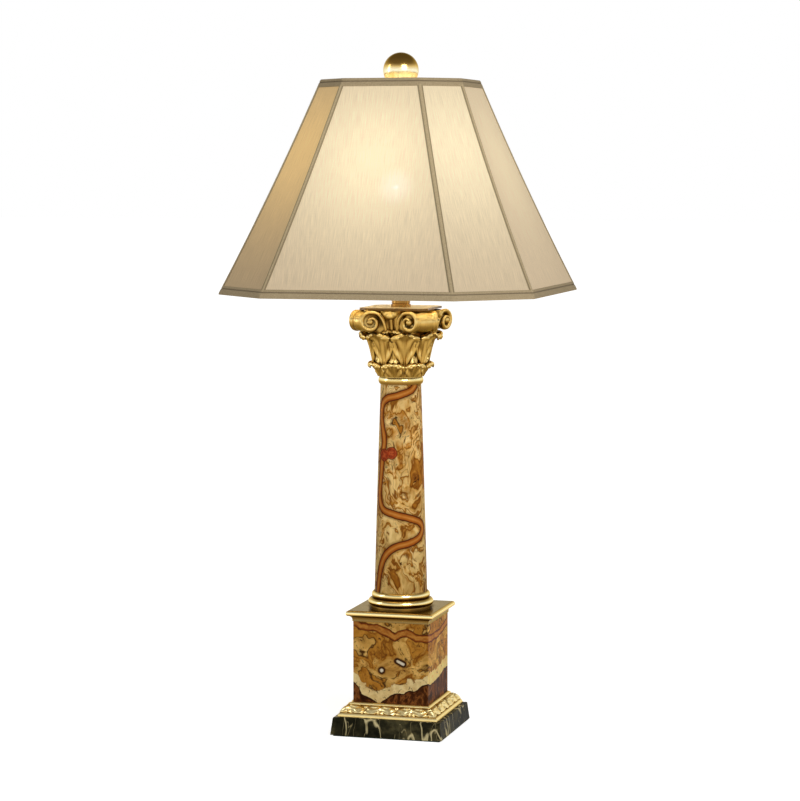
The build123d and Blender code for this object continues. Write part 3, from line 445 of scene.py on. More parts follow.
def block_onyx():
    """The same stone in the block: a zigzag rust vein above, ringed eyes, and a dark jagged foot."""
    f = Finish("block_onyx", IOR=STONE_IOR)
    ground, moved = stone_ground(f, 16, 1.0, 3.6, [
        (0.30, HONEY), (0.385, HONEY), (0.396, BARK), (0.412, SAND), (0.47, SAND), (0.500, HONEY), (0.508, UMBER),
        (0.520, HONEY), (0.57, HONEY), (0.590, BARK), (0.606, SAND), (0.66, SAND), (0.74, HONEY)])
    low = f.near("foot", f.spread(f.noise(55, 4, 0.6), 26.0), 0.03)
    pale = f.mix(f.ramp(f.noise(130, 4, 0.6), [(0.35, 0.0), (0.65, 1.0)]), srgb(255, 226, 160), srgb(226, 190, 124))
    ground = f.mix(f.ramp(low, [(0.38, 0.92), (0.43, 0.0)]), ground, pale)
    ground = f.mix(f.ramp(low, [(0.385, 0.0), (0.41, 0.7), (0.435, 0.0)]), ground, UMBER)
    specks = f.ramp(f.noise(210, 3, 0.6, vector=moved), [(0.62, 0.0), (0.66, 0.8)])
    ground = f.mix(specks, ground, BARK)
    wobble = f.spread(f.noise(75, 3, 0.6), 6.0)
    gap = f.near("vein", wobble)
    band = f.ramp(gap, [(0.0, srgb(188, 116, 44)), (0.18, srgb(202, 136, 60)), (0.30, srgb(170, 94, 32)),
                        (0.42, OXBLOOD), (0.52, BARK)])
    band = f.mix(f.ramp(f.noise(120, 4, 0.65), [(0.45, 0.0), (0.62, 0.6)]), band, srgb(140, 72, 28))
    colour = f.mix(f.ramp(gap, [(0.50, 1.0), (0.58, 0.0)]), ground, band)
    eye = f.near("eye", f.math("MULTIPLY", wobble, 0.45))
    rings = f.ramp(eye, [(0.0, srgb(244, 234, 214)), (0.16, srgb(226, 206, 172)), (0.22, BARK), (0.40, BARK),
                         (0.50, UMBER)])
    colour = f.mix(f.ramp(eye, [(0.40, 1.0), (0.60, 0.0)]), colour, rings)
    streaks = f.noise(60, 5, 0.62, 1.6, vector=f.sized((1, 1, 0.5)))
    dark = f.ramp(streaks, [(0.34, srgb(42, 20, 9)), (0.49, srgb(82, 42, 18)), (0.56, srgb(140, 84, 40)),
                            (0.61, srgb(90, 46, 20)), (0.70, srgb(50, 24, 11))])
    edge = f.math("ADD", f.attribute("foot"), wobble)
    dark = f.mix(f.ramp(f.math("MULTIPLY", f.math("ADD", edge, 3.4), 0.33, clamp=True),
                        [(0.2, 0.0), (0.8, 1.0)]), dark, srgb(44, 18, 10))
    colour = f.mix(f.ramp(f.math("MULTIPLY", f.math("ADD", edge, 1.0), 0.5, clamp=True),
                          [(0.4, 1.0), (0.6, 0.0)]), colour, dark)
    # Painted light: faces that look to the right are drawn brighter than the rest.
    painted_light_right = f.ramp(f.normal("X"), [(0.3, (0.89, 0.94, 1.0)), (0.9, (1.26, 1.28, 1.06))])
    polished_stone(f, f.mix(1.0, colour, painted_light_right, "MULTIPLY"))
    return f.material


def dark_marble():
    """Near black green marble with branching cream veins."""
    f = Finish("dark_marble", IOR=STONE_IOR)
    leaning = f.sized((1.3, 1.3, 0.4), rotation=(0.4, 0.45, 0.0))
    cloud = f.ramp(f.noise(34, 5, 0.65), [(0.38, srgb(22, 22, 14)), (0.52, srgb(44, 42, 28)),
                                          (0.68, srgb(88, 82, 56))])
    ridge = f.math("ABSOLUTE", f.math("SUBTRACT", f.noise(20, 2.5, 0.52, 0.3, vector=leaning), 0.5))
    fine = f.math("ABSOLUTE", f.math("SUBTRACT", f.noise(38, 2.5, 0.55, 0.3, vector=leaning), 0.52))
    veins = f.ramp(ridge, [(0.0, 1.0), (0.005, 0.8), (0.014, 0.0)])
    hair = f.ramp(fine, [(0.0, 0.6), (0.009, 0.0)])
    f.to("Base Color", f.mix(hair, f.mix(veins, cloud, srgb(214, 200, 152)), srgb(176, 162, 118)))
    f.to("Roughness", f.ramp(f.noise(70, 2), [(0.2, 0.26), (0.8, 0.42)]))
    return f.material


ORANGE_GLOW = (0.56, 0.345, 0.09)
PALE_GLOW = (0.46, 0.42, 0.27)


def grey(f, level):
    return f.node("ShaderNodeCombineColor", {0: level, 1: level, 2: level}).outputs[0]


def bulb_glow(f, level):
    """Light of the bulb that comes through the cloth, which falls with the distance from the bulb."""
    full_at, power, most = 0.15, 3.3, 1.15
    away = f.node("ShaderNodeVectorMath", {0: f.coords, 1: (0, 0, -GLOW_MIDDLE * MM)}, operation="ADD").outputs[0]
    length = f.node("ShaderNodeVectorMath", {0: away}, operation="LENGTH").outputs["Value"]
    fall = f.math("MINIMUM", f.math("POWER", f.math("DIVIDE", full_at, length), power), most)
    colour = f.mix(f.attribute("pale"), ORANGE_GLOW, PALE_GLOW)
    strength = f.math("MULTIPLY", f.math("MULTIPLY", fall, level), f.attribute("lit"))
    return f.mix(1.0, colour, grey(f, strength), "MULTIPLY")


def silk(name, tint):
    """Slubbed silk lit by the bulb behind it."""
    f = Finish(name, Roughness=0.85, IOR=1.15, Emission_Strength=1.0)
    grain = f.node("ShaderNodeCombineXYZ", {"X": f.attribute("across"), "Y": f.attribute("up")}).outputs[0]
    thread = f.noise(1.0, 4, 0.65, vector=f.sized((0.9, 0.04, 1), vector=grain))
    weft = f.noise(1.0, 2, 0.5, vector=f.sized((0.05, 1.6, 1), vector=grain))
    level = f.math("ADD", 1.0, f.math("ADD", f.spread(thread, 0.62), f.spread(weft, 0.08)))
    # The tone attribute is painted light and shade, set for each panel by the side it faces.
    f.to("Base Color", f.mix(1.0, tint, grey(f, f.math("MULTIPLY", level, f.attribute("tone"))), "MULTIPLY"))
    # A painted bright spot of the bulb, around the point stored as core.
    core = f.ramp(f.math("MULTIPLY", f.attribute("core"), 0.02, clamp=True),
                  [(0.0, (0.30, 0.32, 0.42)), (0.14, (0.08, 0.09, 0.12)), (0.6, (0.0, 0.0, 0.0))], "EASE")
    f.to("Emission Color", f.mix(1.0, bulb_glow(f, level), core, "ADD"))
    f.bump(thread, 0.25, 0.12)
    return f.material


def silk_trim():
    """Folded tape of the same silk, through which less light comes."""
    f = Finish("silk_trim", Roughness=0.8, IOR=1.2, Emission_Strength=1.0)
    fine = f.noise(900, 3, 0.6)
    cloth = f.ramp(fine, [(0.3, srgb(164, 144, 112)), (0.7, srgb(196, 178, 144))])
    sewn = f.ramp(f.math("MULTIPLY", f.attribute("seam"), 0.25, clamp=True), [(0.10, 0.50), (0.28, 1.0)])
    f.to("Base Color", f.mix(1.0, cloth, sewn, "MULTIPLY"))
    f.to("Emission Color", bulb_glow(f, 0.3))
    f.bump(fine, 0.3, 0.15)
    return f.material


def plain_metal(name, low, high, rough, scale=60, stretch=(1, 1, 1)):
    f = Finish(name, Metallic=1.0)
    field = f.noise(scale, 4, 0.6, vector=f.sized(stretch))
    f.to("Base Color", f.ramp(field, [(0.3, low), (0.75, high)]))
    f.to("Roughness", f.ramp(field, [(0.3, rough), (0.8, rough + 0.14)]))
    return f.material


def plain_matter(name, low, high, rough, scale=80):
    f = Finish(name)
    field = f.noise(scale, 4, 0.6)
    f.to("Base Color", f.ramp(field, [(0.3, low), (0.75, high)]))
    f.to("Roughness", f.ramp(field, [(0.3, rough), (0.8, min(1.0, rough + 0.15))]))
    f.bump(field, 0.1, 0.2)
    return f.material


def lit_glass():
    """Frosted bulb that is switched on."""
    f = Finish("lit_glass", Roughness=0.4, Emission_Strength=9.0)
    frost = f.ramp(f.noise(120, 3), [(0.3, srgb(250, 236, 206)), (0.7, srgb(255, 246, 226))])
    f.to("Base Color", frost)
    f.to("Emission Color", f.ramp(f.noise(30, 2), [(0.3, (1.0, 0.80, 0.52)), (0.7, (1.0, 0.86, 0.62))]))
    return f.material


BRASS = plain_metal("lacquered_brass", srgb(144, 104, 48), srgb(196, 154, 84), 0.22)
STEEL = plain_metal("plated_steel", srgb(150, 150, 146), srgb(188, 188, 184), 0.24, 90, (1, 1, 6))
WIRE = plain_matter("shade_wire", srgb(196, 192, 180), srgb(214, 210, 198), 0.35)
BLACK = plain_matter("black_plastic", srgb(18, 18, 18), srgb(30, 30, 30), 0.3)
PHENOLIC = plain_matter("brown_phenolic", srgb(70, 40, 24), srgb(96, 60, 38), 0.5)
CARD = plain_matter("insulating_card", srgb(160, 138, 104), srgb(188, 166, 130), 0.8)
FELT_CLOTH = plain_matter("felt_cloth", srgb(34, 52, 38), srgb(52, 74, 54), 0.9, 700)
COVER = silk("silk_shantung", (0.69, 0.545, 0.375))
LINING = silk("silk_lining", (0.80, 0.72, 0.56))
TRIM = silk_trim()


# ---- Stone ----
def shaft_radius(z):
    """Straight taper with the slight swell of the frame's shaft."""
    foot, head, swell = 35.3, 26.9, 0.35
    t = (z - SHAFT_FOOT) / (SHAFT_TOP - SHAFT_FOOT)
    return foot + (head - foot) * t + swell * 4 * t * (1 - t)


def make_shaft():
    def wall(u, v):
        z = SHAFT_FOOT + (SHAFT_TOP - SHAFT_FOOT) * v
        return at_turn(shaft_radius(z), 2 * pi * u, z)

    shaft = laid_grid("shaft_stone", 150, 180, wall, closed=True)
    close_ends(shaft, SHAFT_FOOT, SHAFT_TOP)
    # Turning angle from the front, in degrees, and height of the vein's middle line.
    front = [(63, 470), (57, 462), (41, 456), (5, 450), (-26, 446), (-45, 437), (-47, 418), (-33, 391),
             (-38, 372), (-43, 341), (-47, 316), (-34, 300), (0, 293), (36, 288), (66, 281), (76, 272),
             (62, 261), (30, 254), (5, 250), (-20, 239), (-36, 220), (-44, 195), (-48, 184)]
    back = [(150, 470), (168, 440), (205, 425), (228, 400), (214, 372), (190, 350), (160, 330), (140, 300),
            (150, 270), (180, 250), (215, 236), (230, 205), (236, 184)]

    def unrolled(angle, z):
        return Vector((radians(angle) * shaft_radius(z), z))

    lines = [route_points([unrolled(*p) for p in route], 5) for route in (front, back)]
    knots = [unrolled(-9, 374), unrolled(-32, 371), unrolled(205, 372)]

    def flat(point):
        angle = atan2(point.x, -point.y)
        if angle < radians(-100):
            angle += 2 * pi
        return Vector((angle * shaft_radius(point.z), point.z))

    mark(shaft, "vein", lambda p: min(gap_to_route(line, flat(p)) for line in lines))
    mark(shaft, "knot", lambda p: min((flat(p) - k).length for k in knots) - 2.4)
    smooth(shaft, 40)
    dress(shaft, shaft_onyx(), "lamp_base", "veined_onyx", "column_shaft")


def make_block():
    half = BLOCK_HALF - 0.01
    bend = 0.8

    def corner_line(s):
        """Point on the block's rounded outline, s from 0 to 1 around it from the middle of the front."""
        side = int((s * 4 + 0.5) % 4)
        t = (s * 4 + 0.5) % 1.0
        x = (t * 2 - 1) * half
        over = abs(x) - (half - bend)
        if over > 0:
            angle = over / bend * pi / 4
            x = (half - bend + bend * sin(angle)) * (1 if x > 0 else -1)
            y = -(half - bend + bend * cos(angle))
        else:
            y = -half
        turn = side * pi / 2
        return (x * cos(turn) - y * sin(turn), x * sin(turn) + y * cos(turn))

    def wall(u, v):
        x, y = corner_line(u)
        return (x, y, BLOCK_FOOT + (BLOCK_TOP - BLOCK_FOOT) * v)

    block = laid_grid("block_stone", 208, 56, wall, closed=True)
    close_ends(block, BLOCK_FOOT, BLOCK_TOP)
    # Distance along the front and then the right side from the front's middle, and depth below the top.
    zigzag = [(-60, 0), (-47, 2), (-41.6, 6.3), (-31, 7.5), (-19, 7.8), (-12, 10.8), (-2.5, 14.3), (5.8, 19.5),
              (11.7, 15), (21.2, 13), (28.3, 15.5), (35.4, 19), (47.3, 19), (68, 21.2), (87, 19.6), (100, 21),
              (113, 19.6), (128, 17), (147, 12), (156, 9)]
    foot = [(-54, 30), (-51, 27), (-43, 19), (-40, 11), (-32, 8), (-24, 3.5), (-15, 0), (-7, 6.5), (1, 11),
            (12, 15), (17, 13.5), (25, 18), (33, 17), (40, 24), (51, 29), (62, 26), (94, 27), (119, 30),
            (135, 35), (156, 35)]
    vein_line = [Vector(p) for p in zigzag]

    def flat(p):
        return Vector((p.x + p.y + BLOCK_HALF, BLOCK_TOP - p.z))

    def above_foot(p):
        s = flat(p).x
        for (a, low), (b, high) in zip(foot, foot[1:]):
            if a <= s <= b:
                return (p.z - BLOCK_FOOT) - (low + (high - low) * (s - a) / (b - a))
        return (p.z - BLOCK_FOOT) - foot[-1][1]

    def to_eye(p):
        place = flat(p)
        lens = gap_to_route([Vector((9.5, 51.0)), Vector((18.0, 55.0))], place)
        return min(lens, (place - Vector((-12.0, 64.5))).length - 0.9)

    mark(block, "vein", lambda p: gap_to_route(vein_line, flat(p)))
    mark(block, "foot", above_foot)
    mark(block, "eye", to_eye)
    smooth(block, 40)
    dress(block, block_onyx(), "lamp_base", "veined_onyx", "pedestal_block")


# ---- Carved moulding of the base ----
def dress_carving(piece, angle=None, node="capital"):
    smooth(piece, angle)
    dress(piece, AGED_AND_SHADED, "lamp_base", "antique_gilt", node)


def make_moulding():
    foot_half, step_half, neck_half = 67.8, 64.8, 51.6
    foot_rise, roll = 5.0, 3.4
    # Shares of the profile: the foot's half round ends at the first, and the upper one starts at the second.
    carved_from, carved_to = 0.12, 0.88
    low = MOULDING_FOOT
    top = BLOCK_FOOT
    pitch = 2 * step_half / 6

    def relief(s, t):
        """Height of the carving: broad leaves that lean to and fro, with lobes and ribs, and buds between."""
        cell = s / pitch
        near = round(cell)
        lean = 0.55 if near % 2 else -0.55
        dx = (cell - near) * 2
        x = dx - lean * (t - 0.35)
        spread = 0.50 + 0.48 * sin(pi * min(1.0, t * 1.02)) ** 0.8
        edge = abs(x) / spread
        lobe = 0.5 + 0.5 * cos(2 * pi * (2.4 * t - 0.7 * abs(x)))
        body = max(0.0, 1 - edge ** 3) ** 0.6
        leaf = body * (0.50 + 0.42 * lobe * abs(x) + 0.35 * (1 - abs(x)) ** 2)
        curl = 0.5 * exp(-((t - 0.80) / 0.13) ** 2) * body
        bud_x = (cell - near - (0.5 if cell > near else -0.5)) * 2
        bud = 0.75 * exp(-(bud_x / 0.30) ** 2 - ((t - 0.18) / 0.15) ** 2)
        bud += 0.6 * exp(-(bud_x / 0.22) ** 2 - ((t - 0.80) / 0.12) ** 2)
        rough = 0.22 * noise.noise(Vector((s * 0.16, t * 2.4, near * 0.7)))
        return max(leaf + curl, bud) + rough

    def side(v):
        """Profile from the foot up: half round, carved slope, small half round."""
        if v < carved_from:
            angle = v / carved_from * pi / 2
            return (foot_half - 2.6 + 2.9 * cos(angle), low + 0.4 + foot_rise * sin(angle), 0.0)
        if v < carved_to:
            t = (v - carved_from) / (carved_to - carved_from)
            angle = t * pi / 2
            drop = step_half - neck_half - roll
            return (step_half - drop * ((1 - cos(angle)) * 0.55 + t * 0.45),
                    low + foot_rise + (top - roll - low - foot_rise) * (0.5 * sin(angle) + 0.5 * t), t)
        angle = (v - carved_to) / (1 - carved_to) * pi / 2
        return (neck_half + 3.6 * cos(angle), top - roll + roll * sin(angle), 0.0)

    def place(u, v):
        x, z, t = side(v)
        s = (u * 2 - 1) * x
        out = 0.0
        if carved_from <= v < carved_to:
            fade = eased(carved_from, carved_from + 0.04, v) * (1 - eased(carved_to - 0.04, carved_to, v))
            out = 2.7 * fade * relief(s, t) - 1.0 * fade
            corner = eased(0.0, 3.0, x - abs(s))
            out = out * corner + 1.4 * fade * (1 - corner)
        run = x + out
        return (s * run / x, -run, z + 0.35 * out)

    front = laid_grid("moulding_front", 250, 48, place)
    moulding = around(front, 4, 0, "moulding_casting")
    refresh(moulding, 0.00002)
    dress_carving(moulding, 50, "base_moulding")


# ---- Capital ----
def leaf_piece(name, path, half_width, foot_share, lobes, across, along, lift, rib_height, droop):
    """Acanthus leaf on the front of the bell: path is its midrib as (radius, height above the foot)."""
    line = route_points([Vector(p) for p in path], 6)

    def place(u, v):
        side = u * 2 - 1
        a = abs(side)
        middle, run = along_route(line, v)
        out = Vector((run.y, -run.x))
        # Lobes lie side by side up the leaf, and each one's rib runs outward and up from the midrib.
        wave = cos(2 * pi * (lobes * (v - 0.34 * a ** 1.2) / 0.85 + 0.35))
        crest = eased(0.70, 0.86, v)
        lobe = (0.5 + 0.5 * wave) ** 0.6 * (1 - 0.6 * crest) + 0.6 * crest
        spread = foot_share + (0.82 - foot_share) * eased(0.0, 0.4, v) + 0.18 * eased(0.35, 0.86, v)
        tip = sqrt(max(0.0, 1 - max(0.0, (v - 0.84) / 0.16) ** 2))
        width = half_width * spread * (0.6 + 0.4 * tip)
        width *= 1 - 0.33 * (1 - lobe) * a ** 2 * eased(0.05, 0.2, v)
        rise = 1.6 * wave * a ** 0.8 * (1 - a * 0.25) * (1 - 0.8 * crest)
        rise += rib_height * (exp(-(side / 0.13) ** 2) + 0.45 * exp(-((a - 0.36) / 0.12) ** 2)
                              * (1 - eased(0.3, 0.6, v))) * (1 - 0.5 * v)
        rise += 0.55 * cos(2 * pi * 2.5 * side * (1.2 - 0.4 * v)) * eased(0.1, 0.35, v) * (1 - 0.7 * crest)
        rise += lift * a ** 3 * (0.3 + 0.7 * lobe) + 0.3 * cos(4 * pi * a) * crest - 2.0 * a ** 2 * (1 - crest)
        r = middle.x + out.x * rise
        z = CAPITAL_FOOT + middle.y + out.y * rise - droop * a ** 1.8 * eased(0.35, 0.8, v)
        return at_turn(r, side * width / max(30.0, middle.x * 0.95), z)

    leaf = laid_grid(name, across, along, place)
    thicken(leaf, 1.6)
    return leaf


def make_bell():
    profile = [(28.4, 0), (30.4, 6), (33.4, 16), (35.2, 30), (37.0, 46), (38.4, 60), (40.0, 72), (43.2, 84),
               (44.5, 88.5)]
    line = route_points([Vector(p) for p in profile], 6)

    def wall(u, v):
        point, _ = along_route(line, v)
        return at_turn(point.x, 2 * pi * u, CAPITAL_FOOT + point.y)

    bell = laid_grid("capital_bell", 96, 30, wall, closed=True)
    dress_carving(bell)


def make_leaves():
    tall_path = [(29.5, 0), (33.0, 8), (36.2, 18), (38.4, 28), (40.8, 38), (44.2, 48), (47.8, 54.6),
                 (50.8, 57.8), (53.2, 57.8), (54.2, 56.0)]
    tall = leaf_piece("tall_leaf", tall_path, half_width=21.0, foot_share=0.34, lobes=3.6, across=56, along=72,
                      lift=1.6, rib_height=1.6, droop=6.5)
    tall = around(tall, 8, 22.5, "capital_tall_leaves")
    short_path = [(30.5, 0), (33.6, 5), (36.6, 10), (39.2, 14.6), (41.0, 16.8), (42.4, 16.4), (42.6, 14.8)]
    short = leaf_piece("short_leaf", short_path, half_width=15.2, foot_share=0.60, lobes=1.6, across=40, along=32,
                       lift=1.2, rib_height=1.0, droop=3.4)
    short = around(short, 8, 0, "capital_short_leaves")
    bract_path = [(34.0, 12), (36.6, 26), (39.0, 42), (42.0, 54), (45.0, 60.2), (47.4, 61.2), (48.8, 60.0)]
    bract = leaf_piece("bract", bract_path, half_width=16.0, foot_share=0.50, lobes=2.5, across=36, along=40,
                       lift=1.0, rib_height=1.2, droop=2.0)
    bract = around(bract, 4, 0, "capital_bracts")
    for leaves in (tall, short, bract):
        dress_carving(leaves, 70)


# The right front corner's scroll: a roll that narrows outward, between two spiral faces set 20 degrees off the
# directions of the front and of the right side.
SCROLL_HEIGHT = 73.6
EYE_RADIUS = 4.6
FRONT_EYE = Vector((27.0, -53.2, CAPITAL_FOOT + SCROLL_HEIGHT))
RIGHT_EYE = Vector((53.2, -27.0, CAPITAL_FOOT + SCROLL_HEIGHT))
FACE_TURN = radians(20)
FRONT_OUT = Vector((-sin(FACE_TURN), -cos(FACE_TURN), 0))
FRONT_SIDE = Vector((cos(FACE_TURN), -sin(FACE_TURN), 0))
RIGHT_OUT = Vector((cos(FACE_TURN), sin(FACE_TURN), 0))
RIGHT_SIDE = Vector((sin(FACE_TURN), -cos(FACE_TURN), 0))


def scroll_point(p, out, height):
    """Point by the front face of the right front scroll: toward the corner, out of the face, and up."""
    return FRONT_EYE + FRONT_SIDE * p + FRONT_OUT * out + Vector((0, 0, height))


def make_scrolls():
    # Radius, share of the way from the front face to the right one, and height off the nearer face.
    half = [(0.0, 0.0, -4.2), (11.2, 0.0, -4.2), (12.2, 0.0, -3.4), (12.6, 0.0, 0.1), (13.2, 0.0, 0.5),
            (13.6, 0.01, 0.2), (13.6, 0.07, 0.0), (13.0, 0.11, 0.0), (12.1, 0.15, 0.0), (12.2, 0.24, 0.0),
            (12.9, 0.36, 0.0), (13.2, 0.42, 0.0), (12.8, 0.45, 0.0), (13.3, 0.5, 0.0)]
    profile = half + [(r, 1 - w, out) for r, w, out in reversed(half[:-1])]

    def roll(u, v):
        place = v * (len(profile) - 1)
        i = min(int(place), len(profile) - 2)
        r, w, out = (a + (b - a) * (place - i) for a, b in zip(profile[i], profile[i + 1]))
        side = (FRONT_SIDE * (1 - w) + RIGHT_SIDE * w).normalized()
        face = FRONT_OUT if w < 0.5 else RIGHT_OUT
        return (FRONT_EYE * (1 - w) + RIGHT_EYE * w + side * (r * cos(2 * pi * u)) + face * out
                + Vector((0, 0, r * sin(2 * pi * u))))

    drum = laid_grid("scroll_drum", 72, 52, roll, closed=True)
    drum = around(drum, 4, 0, "capital_scroll_rolls")
    dress_carving(drum, 45)

    # The ribbon rises from the bract, runs over the top and curls in like a fern.
    stem = [Vector((6.8, -41.6, CAPITAL_FOOT + 51)), Vector((8.0, -45.4, CAPITAL_FOOT + 64)),
            Vector((11.4, -48.6, CAPITAL_FOOT + 76.8)), Vector((18.0, -50.8, CAPITAL_FOOT + 84.4))]
    coil = []
    turns, steps = 1.12, 32
    for k in range(steps + 1):
        t = k / steps * turns
        radius = 12.2 - 2.0 * eased(-0.2, 0.6, t) - 6.8 * eased(0.52, turns, t)
        angle = pi / 2 - 2 * pi * t
        coil.append(scroll_point(radius * cos(angle), 0.5 + 2.4 * eased(0.35, 1.0, t), radius * sin(angle)))
    line = route_points(stem + coil, 3)

    def ribbon(u, v):
        middle, run = along_route(line, v)
        width = 2.5 + 0.6 * eased(0.05, 0.25, v) - 1.1 * eased(0.45, 0.9, v)
        start = min(1.0, v / 0.2)
        outward = (FRONT_OUT * start + Vector((0.15, -1, 0)) * (1 - start)).normalized()
        sideways = run.cross(outward).normalized()
        angle = 2 * pi * u
        groove = 0.35 * exp(-((cos(angle) - 0.55) / 0.2) ** 2) * max(0.0, sin(angle)) * (1 - eased(0.55, 0.9, v))
        return middle + sideways * (width * cos(angle)) + outward * ((3.1 - groove) * sin(angle))

    ribbon_piece = laid_grid("scroll_ribbon", 24, 170, ribbon, closed=True)

    def eye(u, v):
        angle = v * pi * 0.6
        r = EYE_RADIUS * sin(angle)
        return scroll_point(r * cos(2 * pi * u), 1.2 + EYE_RADIUS * cos(angle), r * sin(2 * pi * u))

    eye_piece = laid_grid("scroll_eye", 20, 8, eye, closed=True)
    ribbons = around(joined([ribbon_piece, eye_piece], "scroll_ribbon"), 4, 0, "capital_scroll_ribbons",
                     mirrored_too=True)
    dress_carving(ribbons, 60)


def make_fleurons():
    def flower(u, v):
        angle = (u - 0.5) * 3.3
        reach = 10.4 * v ** 0.8 * (0.80 + 0.20 * abs(cos(1.5 * angle)))
        out = 50.0 + 6.0 * sin(pi / 2 * v) - 4.2 * v ** 3 + 0.35 * cos(7 * angle) * v
        return (1.25 * reach * sin(angle), -out, CAPITAL_TOP - 1.5 - reach * cos(angle) * 0.85)

    def stalk(u, v):
        angle = 2 * pi * u
        r = 2.0 + 0.8 * v ** 3
        return (r * cos(angle), -(48.4 - 6.5 * v) - r * sin(angle), CAPITAL_TOP - 8 - 24 * v)

    petals = laid_grid("fleuron_petals", 40, 14, flower)
    thicken(petals, 1.4)
    piece = joined([petals, laid_grid("fleuron_stalk", 14, 12, stalk, closed=True)], "fleuron")
    fleurons = around(piece, 4, 0, "capital_fleurons")
    dress_carving(fleurons, 60)


# ---- Shade ----
# A panel's distance from the axis below and above, and then half its width below and above.
WIDE = (210.3, 93.8, 126.3, 50.2)
CORNER = tuple((WIDE[i] + sign * WIDE[i + 2]) / sqrt(2) for sign in (1, -1) for i in (0, 1))
SIDE_TURN = tan(radians(22.5))
SHADE_HOLLOW = 3.0
TAPE_THICKNESS = 0.7
# Keeps the threads of one panel from being those of the next.
THREAD_START = 600


def shade_point(sizes, share, height, inset):
    """Point on a panel that faces the front: share runs from -1 to 1 across it and height from 0 to 1 up it."""
    bow = SHADE_HOLLOW * 4 * height * (1 - height)
    apothem = sizes[0] + (sizes[1] - sizes[0]) * height - bow - inset
    half = sizes[2] + (sizes[3] - sizes[2]) * height - bow * SIDE_TURN - inset * SIDE_TURN
    return Vector((share * half, -apothem, SHADE_FOOT + SHADE_HEIGHT * height))


# How each panel takes the light, all painted: how bright its own colour is drawn, as painted light and shade by the
# side it faces, its share of the bulb's painted glow, and how pale the glow is.
PANEL_LIGHT = {
    "front": (1.0, 1.0, 0.95), "right": (1.28, 0.52, 0.9), "back": (1.0, 0.9, 0.6), "left": (1.0, 0.9, 0.4),
    "right_front": (0.92, 1.2, 1.1), "right_back": (1.0, 0.9, 0.6), "left_back": (1.0, 0.9, 0.4),
    "left_front": (0.80, 0.95, 0.0)}


def light_up(piece, tone, lit, pale):
    for key, value in (("tone", tone), ("lit", lit), ("pale", pale)):
        mark(piece, key, lambda p, value=value: value)


def make_panel(name, sizes, turn, inset, thickness, finish, slot, replaced, light, edge=0.0, core=None):
    def place(u, v):
        return shade_point(sizes, u * 2 - 1, edge + (1 - 2 * edge) * v, inset)

    panel = laid_grid(name, 24, 28, place)
    mark(panel, "across", lambda p: p.x + THREAD_START + turn)
    mark(panel, "up", lambda p: p.z)
    mark(panel, "core", lambda p: (p - core).length if core else 200.0)
    light_up(panel, *light)
    thicken(panel, thickness)
    panel.data.transform(Matrix.Rotation(radians(turn), 4, "Z"))
    smooth(panel, 40)
    dress(panel, finish, "shade", slot, replaced)
    width = 2 * sizes[2] * MM
    slant = hypot(SHADE_HEIGHT, sizes[0] - sizes[1]) * MM
    area = (sizes[2] + sizes[3]) * MM * slant * (1 - 2 * edge) ** 0.5
    return panel, width, slant, min(area, width * slant)


def fold_strip(name, low, high, out, half, depth):
    """Tape over the right front fold, with a seam near each edge, from one height share to another."""
    def place(u, v):
        share = low + (high - low) * v
        fold = shade_point(WIDE, 1, share, -out)
        side = (u * 2 - 1) * half
        along = Vector((1, 0, 0)) if side < 0 else Vector((cos(pi / 4), sin(pi / 4), 0))
        swell = (1 - (u * 2 - 1) ** 4) - 0.45 * exp(-((abs(u * 2 - 1) - 0.62) / 0.14) ** 2)
        return fold + along * side + Vector((sin(pi / 8), -cos(pi / 8), 0)) * (depth * swell)

    strip = laid_grid(name, 16, 40, place)
    thicken(strip, TAPE_THICKNESS)
    return strip


def edge_tape(name, low, high, out, seam):
    """Tape around the shade's edge: eight folds, from one height share to another."""
    def place(u, v):
        share = low + (high - low) * v
        swell = out + 0.7 * (1 - (2 * v - 1) ** 4) - 0.55 * exp(-((v - seam) / 0.07) ** 2)
        place_on = u * 8
        side = int(place_on) % 8
        t = place_on - int(place_on)
        sizes = WIDE if side % 2 == 0 else CORNER
        turn = Matrix.Rotation(radians(45 * side), 3, "Z")
        return turn @ shade_point(sizes, t * 2 - 1, share, -swell)

    tape = laid_grid(name, 96, 20, place, closed=True)
    thicken(tape, TAPE_THICKNESS)
    return tape


